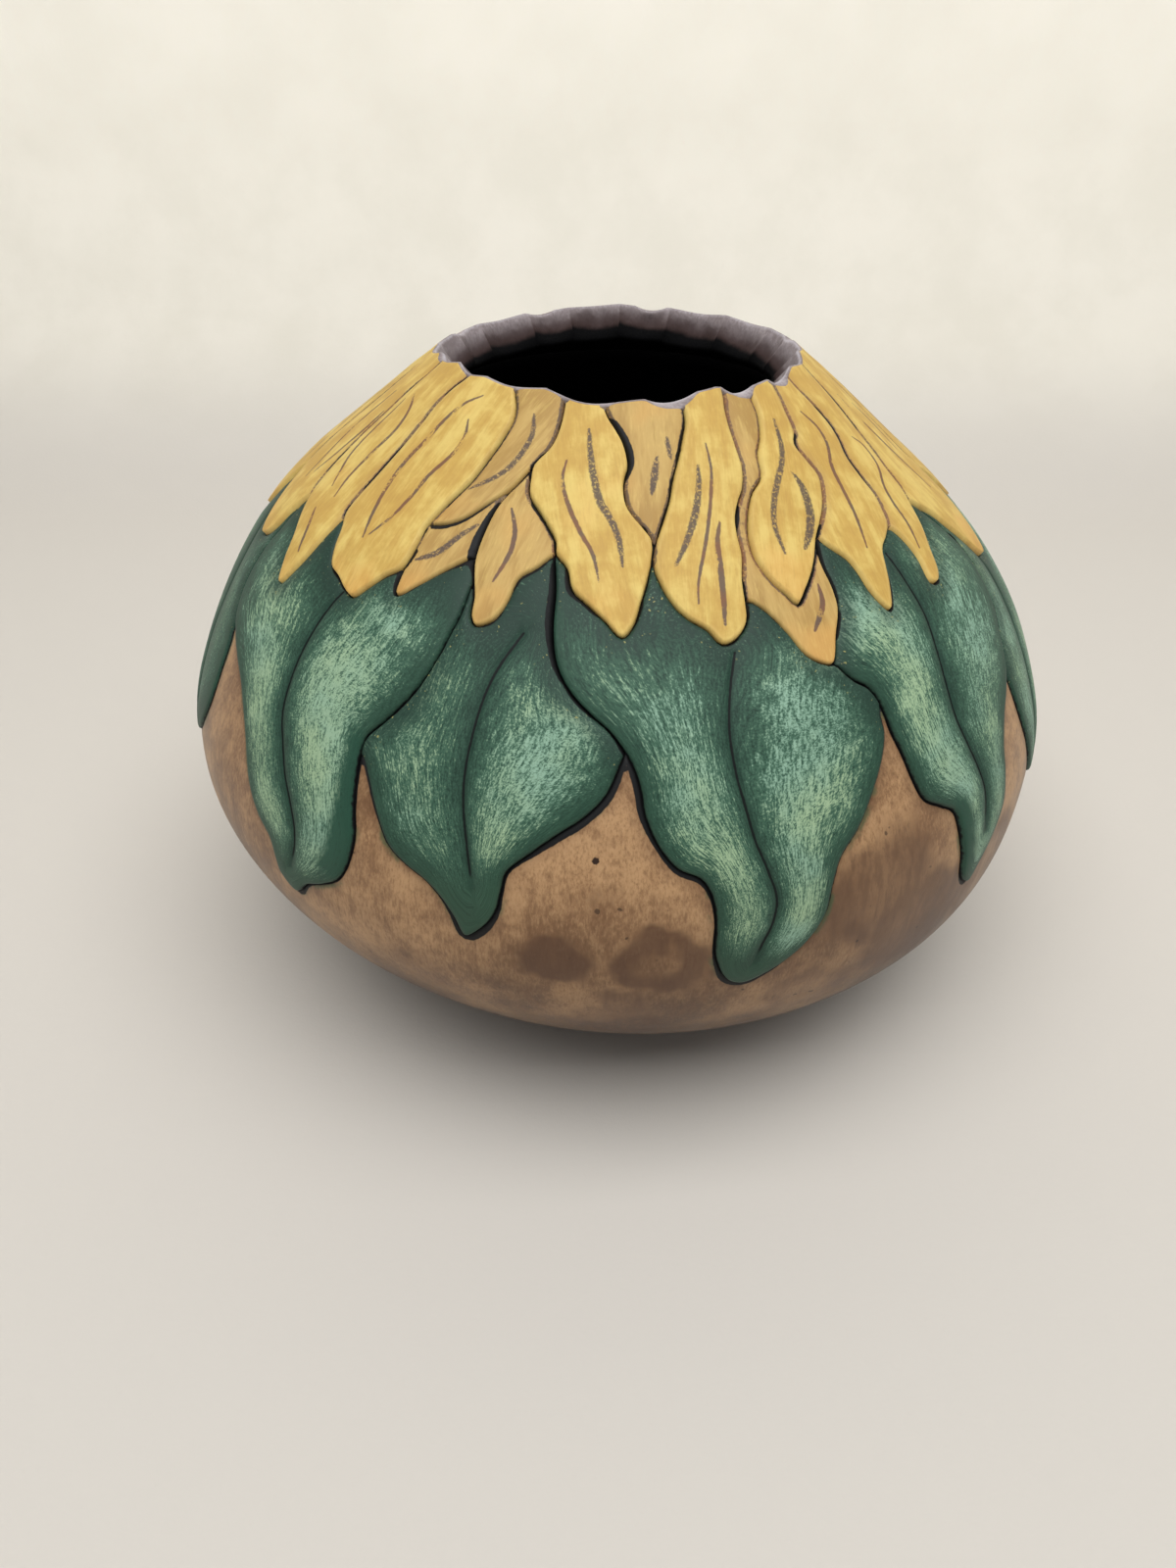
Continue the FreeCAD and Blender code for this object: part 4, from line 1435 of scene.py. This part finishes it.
# %% A socket that can be added and multiplied
class Wire:
    """A socket of the material being made."""

    tree = None

    def __init__(self, socket):
        self.socket = socket

    @classmethod
    def node(cls, kind, settings=None, sockets=None, out=0):
        """Add a node, set its settings, then the values and links of its sockets."""
        made = cls.tree.nodes.new(f"ShaderNode{kind}")
        for key, value in (settings or {}).items():
            setattr(made, key, value)
        for key, value in (sockets or {}).items():
            if isinstance(value, Wire):
                cls.tree.links.new(value.socket, made.inputs[key])
            else:
                made.inputs[key].default_value = value
        return cls(made.outputs[out]) if made.outputs else None

    @classmethod
    def maths(cls, operation, *values):
        """A Math node on one to three values."""
        return cls.node("Math", {"operation": operation}, dict(enumerate(values)))

    def __add__(self, other):
        return Wire.maths("ADD", self, other)

    def __sub__(self, other):
        return Wire.maths("SUBTRACT", self, other)

    def __rsub__(self, other):
        return Wire.maths("SUBTRACT", other, self)

    def __mul__(self, other):
        return Wire.maths("MULTIPLY", self, other)

    def __truediv__(self, other):
        return Wire.maths("DIVIDE", self, other)

    __radd__ = __add__
    __rmul__ = __mul__


# %% Words for the shaders
def paint(red, green, blue):
    """A colour as a paint chart writes it, from 0 to 255, as Blender's linear colour."""
    shares = [value / 255 for value in (red, green, blue)]
    linear = [s / 12.92 if s <= 0.04045 else ((s + 0.055) / 1.055) ** 2.4 for s in shares]
    return (*linear, 1.0)


def field(name):
    """A number that the mesh stores at its vertices."""
    return Wire.node("Attribute", {"attribute_name": name}, out="Fac")


def mixed(first, second, share):
    """A colour between two, more of the second as the share grows."""
    return Wire.node("Mix", {"data_type": "RGBA"}, {0: share, 6: first, 7: second}, out=2)


def layered(body, *coats):
    """A colour under coats of paint, each with the share of it that the coat covers."""
    for colour, cover in coats:
        body = mixed(body, colour, cover)
    return body


def span(value, low, high):
    """A smooth step from 0 at one value to 1 at another."""
    sockets = {"Value": value, "From Min": low, "From Max": high}
    return Wire.node("MapRange", {"interpolation_type": "SMOOTHSTEP"}, sockets)


def fading(value, low, high):
    """A smooth step from 1 at one value to 0 at another."""
    return 1 - span(value, low, high)


def here():
    """The place on the object, in metres."""
    return Wire.node("TexCoord", out="Object")


def most(*values):
    """The largest of some values."""
    largest = values[0]
    for value in values[1:]:
        largest = Wire.maths("MAXIMUM", largest, value)
    return largest


def flow(across, down, sizes, apart=0.0):
    """A place in a brush's path, for noise of a width and a length in millimetres."""
    width, length = sizes
    return Wire.node("CombineXYZ", {}, {0: across / width, 1: down / length, 2: apart})


def grain(place, size=None, detail=3.0, rough=0.55, warp=0.0):
    """Even noise of a size in millimetres, or of the place's own scale."""
    sockets = {"Vector": place, "Detail": detail, "Roughness": rough, "Distortion": warp}
    sockets["Scale"] = 1 / (size * mm) if size else 1.0
    return Wire.node("TexNoise", {}, sockets)


def stretched(place, sizes):
    """A place whose noise has a width across and a height up, in millimetres."""
    width, height = sizes
    scale = (1 / (width * mm), 1 / (width * mm), 1 / (height * mm))
    return Wire.node("VectorMath", {"operation": "MULTIPLY"}, {0: place, 1: scale})


def bumped(height, strength, depth):
    """A normal that is bumped by a height, over a depth in millimetres."""
    sockets = {"Height": height, "Strength": strength, "Distance": depth * mm}
    return Wire.node("Bump", {}, sockets)


def paint_pieces(pieces, name, recipe, specular, **plain):
    """Give pieces a material out of a recipe's varying sockets and plain values."""
    made = bpy.data.materials.new(name)
    made.use_nodes = True
    Wire.tree = made.node_tree
    Wire.tree.nodes.clear()
    shader = Wire.node("BsdfPrincipled", {}, {"Specular IOR Level": specular, **plain, **recipe()})
    Wire.node("OutputMaterial", {}, {"Surface": shader})
    for piece in pieces:
        piece.data.materials.append(made)
    print("finish", name, len(made.node_tree.nodes), "nodes on", len(pieces), "pieces")


# %% [markdown]
# ## Green leaf paint
# The leaves are painted dark green, and then a nearly dry brush of pale mint is dragged down
# each half lobe, so that it catches only on the grain. The streaks follow the lobe, which the
# mesh stores as a place across and down it. Under the petals the green stays dark, and the
# tips are plain.

# %% Sizes in the paint, in millimetres: noise, then bands beside a line
ink_black = paint(11, 12, 14)
press_size = 9.0
grit_size = 1.1
lobe_width = 17.0
patch_size = 12.0
bleach_size = 16.0
splash_size = 0.7
streak_sizes = (0.4, 2.6)
fleck_sizes = (0.26, 0.45)
fleck_apart = 4.0
leaf_margin = (0.8, 4.4)
petal_shadow = (0.3, 5.2)
splash_reach = (1.0, 4.0)
rib_shadow = (0.2, 1.0)
rib_ink = (0.13, 0.27)
leaf_edge_ink = (0.08, 0.26)
burnt_edge = (-0.08, 0.08)


# %% Leaf paint
def leaf_recipe():
    """Dry-brushed green with burnt lines."""
    free, under, ink = field("free"), field("under"), field("ink")
    rib, part, light, fold = field("rib"), field("rib_part"), field("light"), field("fold")
    across, down = field("lobe") * lobe_width, field("down")
    place = here()
    patch = grain(place, patch_size)
    streak = grain(flow(across, down, streak_sizes), detail=4, rough=0.6, warp=0.4)
    fleck = grain(flow(across, down, fleck_sizes, fleck_apart), detail=4, rough=0.75)
    ragged = grain(place, grit_size)
    lit = light + (patch - 0.5) * 0.8
    touch = streak * 0.45 + fleck * 0.55
    bleached = span(grain(place, bleach_size), 0.35, 0.65)
    pale = mixed(paint(184, 210, 168), paint(164, 200, 176), bleached)
    brushed = span(touch + (lit - 0.5) * 0.26, 0.54, 0.68) * (1 - fold)
    shaded = fading(under + (patch - 0.5) * 5, *petal_shadow)
    splash = span(grain(place, splash_size, detail=1), 0.71, 0.74) * fading(under, *splash_reach)
    body = layered(
        paint(36, 60, 50),
        (paint(64, 98, 80), span(touch + (lit - 0.3) * 0.25, 0.38, 0.64)),
        (paint(78, 117, 96), span(lit + (touch - 0.5) * 1.8, 0.35, 1.15)),
        (paint(44, 76, 60), fading(free + (patch - 0.5) * 3.5, *leaf_margin) * 0.55),
        (paint(70, 104, 80), field("tip") * 0.3),
        (paint(40, 78, 62), fold * 0.8),
        (pale, brushed * 0.74),
        (paint(34, 58, 48), fading(touch, 0.36, 0.48) * 0.55),
        (paint(38, 60, 51), shaded * 0.7),
        (paint(112, 146, 120), span(fleck + (patch - 0.5) * 0.2, 0.58, 0.68) * shaded * 0.6),
        (paint(176, 170, 104), splash * 0.7),
        (paint(34, 62, 50), fading(rib, *rib_shadow) * 0.45),
    )
    ribbed = fading(rib + (ragged - 0.5) * 0.22, *rib_ink) * fading(part, 0.94, 0.97)
    pressed = span(grain(place, press_size, detail=1), 0.42, 0.6)
    burnt = fading(under - ink * (0.4 + pressed) + (ragged - 0.5) * 0.3, *burnt_edge)
    edged = fading(free + (ragged - 0.5) * 0.4, *leaf_edge_ink)
    lined = most(burnt, edged, ribbed * 0.92)
    return {
        "Base Color": mixed(body, ink_black, lined),
        "Roughness": 0.5 + (streak - 0.5) * 0.25 + lined * 0.12,
        "Normal": bumped(touch, 0.3, 0.1),
    }


paint_pieces(leaf_pieces, "leaf_paint", leaf_recipe, 0.22)

# %% [markdown]
# ## Yellow petal paint
# The petals carry a creamy yellow, brushed from the mouth to the tip, with orange ochre at
# some tips and a darker ochre on the petals that lie behind. Over it come mauve lines, some
# drawn and some stippled with a dry brush. A picture could hold such brushwork, but noise that
# follows the brush's path has no edge and no fixed number of pixels.

# %% Sizes in the petals' paint, in millimetres
brush_sizes = (1.6, 9.0)
hair_sizes = (0.35, 2.5)
brush_apart = 40
broad_size = 13.0
cloud_size = 5.0
speckle_size = 0.5
rag_size = 0.9
upper_shadow = (0.2, 2.6)
painted_edge_highlight = (0.2, 0.9)
stroke_edge = (-0.1, 0.12)
petal_burnt_edge = (-0.07, 0.07)
soft_width = 0.65
soft_edge = (-0.1, 0.1)
petal_edge_ink = (-0.04, 0.1)


# %% Petal paint
def petal_recipe():
    """Brushed yellow with mauve lines and burnt edges."""
    free, under, ink = field("free"), field("under"), field("ink")
    across, down, tip, shade = field("across"), field("down"), field("tip"), field("shade")
    stroke, stipple, kind = field("stroke"), field("stipple"), field("kind")
    place = here()
    brush = grain(flow(across, down, brush_sizes, kind * brush_apart), detail=4, rough=0.5)
    hair = grain(flow(across, down, hair_sizes, kind * brush_apart), detail=4, rough=0.6)
    broad = grain(place, broad_size, detail=2)
    ragged = grain(place, rag_size)
    speckle = grain(place, speckle_size, detail=4, rough=0.75)
    cloud = grain(place, cloud_size, detail=4, rough=0.6)
    streaked = hair + (cloud - 0.5) * 0.5
    front = layered(
        paint(200, 162, 84),
        (paint(217, 186, 102), span(brush * 0.4 + broad * 0.4 + cloud * 0.4, 0.5, 0.72)),
        (paint(228, 204, 124), span(brush * 0.5 + cloud * 0.6 + (broad - 0.5) * 0.5, 0.5, 0.75) * 0.5),
    )
    behind = span(brush + (broad - 0.5) * 0.8, 0.36, 0.62)
    body = layered(
        front,
        (mixed(paint(178, 143, 82), paint(200, 167, 102), behind), shade),
        (paint(219, 160, 84), span(tip * 0.6 + (broad - 0.5) * 2.4, 0.15, 0.9) * 0.5),
        (paint(176, 140, 82), fading(under + (broad - 0.5) * 2, *upper_shadow) * 0.4),
        # Painted highlight: a paler line along each petal's free edge, where the rounded edge catches the
        # light.
        (paint(233, 208, 130), fading(free + (broad - 0.5) * 2, *painted_edge_highlight) * 0.25),
        (paint(184, 144, 80), fading(streaked, 0.32, 0.5) * 0.25),
        (paint(233, 206, 124), span(streaked, 0.52, 0.72) * 0.25),
    )
    dabs = span(speckle + (cloud - 0.5) * 0.2, 0.34, 0.5)
    drawn = span(brush + (speckle - 0.5) * 0.6, 0.3, 0.42)
    uneven = stroke + (ragged - 0.5) * 0.3 + (speckle - 0.5) * stipple * 1.2
    marked = fading(uneven, *stroke_edge) * (dabs * stipple + drawn * (1 - stipple))
    mauve = layered(
        paint(116, 78, 64),
        (paint(94, 76, 72), span(cloud + stipple * 0.4, 0.42, 0.58)),
        (paint(72, 66, 66), stipple * 0.6),
    )
    pressed = span(grain(place, press_size, detail=1), 0.44, 0.58)
    burnt = fading(under - ink * (0.15 + pressed * 1.2) + (ragged - 0.5) * 0.3, *petal_burnt_edge)
    soft = fading(under - soft_width + (ragged - 0.5) * 0.5, *soft_edge) * span(speckle, 0.32, 0.5)
    edged = fading(free + (ragged - 0.5) * 0.3, *petal_edge_ink)
    body = layered(body, (mauve, marked * 0.9), (mauve, soft * 0.85))
    return {
        "Base Color": mixed(body, ink_black, most(burnt, edged)),
        "Roughness": 0.58 + (brush - 0.5) * 0.2,
        "Normal": bumped(brush * 0.5 + cloud, 0.3, 0.15),
    }


paint_pieces(petal_pieces, "petal_paint", petal_recipe, 0.26)

# %% [markdown]
# ## Waxed skin, stained rim, black inside
# The bare skin is a satin tan. Mould left brown rings and spots on it while the gourd dried,
# and fine fibres run up it. Towards the foot it is darker, partly its own colour and partly
# painted shade. A little green strayed over the outlines. The rim is stained purple grey and
# is paler where the edges have worn; painted shade darkens its back and one side of each
# scoop. Each of these changes at its own size, so each is a noise of its own, and the mesh
# says where the leaves, the marks and the foot are.

# %% Sizes in the skin's and the rim's finish, in millimetres
blotch_size = 20.0
mottle_size = 4.5
prick_size = 2.3
fuzz_sizes = (0.4, 1.5)
fibre_sizes = (1.3, 8.0)
leaf_shadow = (0.0, 3.2)
stray_reach = (0.5, 1.5)
dot_edge = (-0.1, 0.1)
stain_size = 5.0
scratch_sizes = (0.5, 1.5)
soot_size = 1.6


# %% Gourd skin
def skin_recipe():
    """Mottled tan with mould marks, stray green and burnt lines."""
    under, ink, mark, dot = field("under"), field("ink"), field("mark"), field("dot")
    place = here()
    blotch = grain(place, blotch_size, detail=4)
    mottle = grain(place, mottle_size, detail=4, rough=0.65)
    fuzz = grain(stretched(place, fuzz_sizes), detail=4, rough=0.7)
    fibre = grain(stretched(place, fibre_sizes), detail=4, rough=0.6)
    ragged = grain(place, grit_size)
    felted = fuzz + (mottle - 0.5) * 0.3
    # Darker towards the foot: partly the skin's own darker colour, partly painted shade on the underside.
    low = fading(field("level") + (blotch - 0.5) * 0.3, 0.3, 0.54)
    rough_mark = mark + (mottle - 0.5) * 0.7 + (fibre - 0.5) * 1.1 + (fuzz - 0.5) * 1.1
    stray = fading(under + (ragged - 0.5) * 1.2, *stray_reach) * span(grain(place, press_size), 0.5, 0.58)
    spotted = fading(dot + (ragged - 0.5) * 0.4, *dot_edge)
    pricked = span(grain(place, prick_size, detail=1), 0.76, 0.8)
    body = layered(
        paint(136, 101, 70),
        (paint(186, 147, 106), span(blotch + (mottle - 0.5) * 0.5, 0.3, 0.66)),
        (paint(200, 163, 122), span(felted, 0.46, 0.72) * 0.45),
        (paint(110, 79, 54), fading(felted, 0.3, 0.54) * 0.5),
        # The darker foot, partly painted shade.
        (paint(66, 46, 31), low * 0.9),
        (paint(118, 85, 58), fading(fibre + (blotch - 0.5) * 0.3, 0.3, 0.5) * 0.5),
        (paint(90, 62, 44), span(rough_mark, 0.15, 1.05) * 0.8),
        (paint(92, 66, 48), fading(under + (mottle - 0.5) * 3, *leaf_shadow) * 0.35),
        (paint(62, 88, 58), stray * 0.7),
        (paint(52, 36, 28), most(spotted, pricked * 0.7)),
    )
    lined = fading(under - ink + (ragged - 0.5) * 0.25, *burnt_edge)
    return {
        "Base Color": mixed(body, ink_black, lined),
        "Roughness": 0.4 + (mottle - 0.5) * 0.2 + lined * 0.2,
        "Normal": bumped(fuzz * 0.6 + mottle * 0.8, 0.3, 0.12),
    }


paint_pieces([shell], "gourd_skin", skin_recipe, 0.32)


# %% Rim stain
def rim_recipe():
    """Purple-grey stain over gouged facets, worn pale on the edges, with painted shade at the back and on
    one side of each scoop.
    """
    # wear is the edges' wear, weaker at the back as painted shade; deep is the depth in from the crown,
    # with the painted shade of the back and the facets added.
    wear, deep = field("wear"), field("deep")
    place = here()
    patch = grain(place, stain_size, detail=4)
    fine = grain(stretched(place, scratch_sizes), detail=4, rough=0.6)
    body = layered(
        paint(136, 125, 125),
        (paint(168, 158, 159), span(patch + (fine - 0.5) * 0.5, 0.35, 0.65)),
        (paint(82, 69, 68), span(deep + (patch - 0.5) * 0.7, 0.3, 0.75) * 0.9),
        (paint(56, 41, 38), span(deep + (patch - 0.5) * 0.6, 0.58, 0.92) * 0.85),
        (paint(196, 191, 197), span(wear + (fine - 0.5) * 0.5, 0.35, 1.0) * 0.8),
        (paint(5, 5, 6), span(deep + (patch - 0.5) * 0.22, 0.84, 1.02)),
    )
    return {
        "Base Color": body,
        "Roughness": 0.6 + (fine - 0.5) * 0.2 + deep * 0.3,
        "Normal": bumped(fine * 0.6 + patch * 1.2, 0.6, 0.3),
    }


paint_pieces([rim], "rim_stain", rim_recipe, 0.12)


# %% Black inside
def coat_recipe():
    """Matte black over fibrous shell."""
    fuzz = grain(here(), soot_size, detail=4)
    return {
        "Base Color": mixed(paint(5, 5, 6), paint(16, 15, 16), span(fuzz, 0.4, 0.7)),
        "Roughness": 0.8 + (fuzz - 0.5) * 0.2,
        "Normal": bumped(fuzz, 0.4, 0.3),
    }


paint_pieces([coat], "inner_black", coat_recipe, 0.2)

# %% [markdown]
# ## The stage
# The gourd stands on a sheet of pale paper that curves up behind it. One large soft lamp hangs
# above, and an even pale sky fills the shadows, at a level where a colour looks as it is
# written. The paper also glows for the camera, more up the wall and far off, which is painted light.

# %% A sheet of paper that curves up behind the gourd, in metres, and its grain in millimetres
sheet_half_width = 1.6
sheet_fronts = (-1.8, -0.6, -0.2)
sheet_bend_start = 0.235
sheet_bend_radius = 0.14
sheet_top = 0.9
bend_steps = 24
tooth_size = 1.2
paper_cloud_size = 45.0
wall_foot = (0.0, 0.06)
glow_rise = (0.0, 0.18)
glow_reach = (0.5, 1.5)


def sheet_line():
    """Depth and height of points along the sheet."""
    line = [(depth, 0.0) for depth in (*sheet_fronts, sheet_bend_start)]
    for i in range(1, bend_steps + 1):
        angle = math.pi / 2 * i / bend_steps
        depth = sheet_bend_start + sheet_bend_radius * math.sin(angle)
        line.append((depth, sheet_bend_radius * (1 - math.cos(angle))))
    line.append((sheet_bend_start + sheet_bend_radius, sheet_top))
    return line


def by_camera():
    """1 where the camera looks straight at the paper or the sky, and 0 for light and gloss."""
    return Wire.node("LightPath", out="Is Camera Ray")


def paper_recipe():
    """Warm pale paper with a fine tooth. It glows for the camera, more up the wall and far off, as painted
    light that keeps its tone far from the lamp.
    """
    place = here()
    tooth = grain(place, tooth_size, detail=4, rough=0.7)
    cloud = grain(place, paper_cloud_size, detail=4, rough=0.6)
    height = Wire.node("SeparateXYZ", {}, {0: place}, out=2)
    away = Wire.node("VectorMath", {"operation": "LENGTH"}, {0: place}, out=1)
    wall = mixed(paint(229, 224, 211), paint(236, 231, 219), span(cloud, 0.3, 0.7))
    # Painted light: the paper glows for the camera, more up the wall and far from the lamp.
    glow = layered(
        paint(0, 0, 0),
        (paint(132, 131, 125), span(height, *glow_rise)),
        (paint(196, 193, 184), span(away, *glow_reach)),
    )
    return {
        "Base Color": layered(
            paint(212, 207, 199),
            (wall, span(height, *wall_foot)),
            (paint(200, 194, 184), span(tooth, 0.6, 0.8) * 0.2),
        ),
        "Roughness": 0.9,
        "Normal": bumped(tooth, 0.25, 0.2),
        "Emission Color": mixed(paint(0, 0, 0), glow, by_camera()),
    }


line = sheet_line()
sides = (-sheet_half_width, sheet_half_width)
sheet_points = [(side, depth, height) for depth, height in line for side in sides]
sheet_faces = [(2 * i, 2 * i + 1, 2 * i + 3, 2 * i + 2) for i in range(len(line) - 1)]
sheet_mesh = bpy.data.meshes.new("paper_sheet")
sheet_mesh.from_pydata(sheet_points, [], sheet_faces)
sheet_mesh.polygons.foreach_set("use_smooth", [True] * len(sheet_faces))
sheet = bpy.data.objects.new("paper_sheet", sheet_mesh)
bpy.context.collection.objects.link(sheet)
paint_pieces([sheet], "pale_paper", paper_recipe, 0.2, **{"Emission Strength": 1.0})

# %% Light and camera
scene = bpy.context.scene
scene.view_settings.view_transform = "Standard"
sky_strength = 0.25
lamp_power = 11.4
lamp_width = 1.35
lamp_depth = 0.75
lamp_place = (0.04, -0.3, 1.0)
camera_place = (0.0, -0.20897, 0.17299)
camera_tilt = 54.69
camera_turn = 1.602
camera_lens = 24.0
camera_near = 0.01

world = bpy.data.worlds.new("pale_sky")
world.use_nodes = True
Wire.tree = world.node_tree
Wire.tree.nodes.clear()
seen = by_camera()
colour = mixed(paint(246, 247, 250), paint(233, 228, 216), seen)
strength = sky_strength + seen * (1 - sky_strength)
sky = Wire.node("Background", {}, {"Color": colour, "Strength": strength})
Wire.node("OutputWorld", {}, {"Surface": sky})
scene.world = world


def soft_lamp(name, place, width, depth, power):
    """A wide lamp that points at the middle of the gourd."""
    data = bpy.data.lights.new(name, "AREA")
    data.shape = "RECTANGLE"
    data.size = width
    data.size_y = depth
    data.energy = power
    lamp = bpy.data.objects.new(name, data)
    lamp.location = place
    middle = Vector((cad_low + cad_high) / 2)
    lamp.rotation_euler = (middle - lamp.location).to_track_quat("-Z", "Y").to_euler()
    bpy.context.collection.objects.link(lamp)


soft_lamp("top_lamp", lamp_place, lamp_width, lamp_depth, lamp_power)
camera_data = bpy.data.cameras.new("camera")
camera_data.lens = camera_lens
camera = bpy.data.objects.new("camera", camera_data)
camera.location = camera_place
camera.rotation_euler = (math.radians(camera_tilt), 0.0, math.radians(camera_turn))
camera_data.clip_start = camera_near
bpy.context.collection.objects.link(camera)
scene.camera = camera
print("lamp at", lamp_place, "camera at", camera_place)
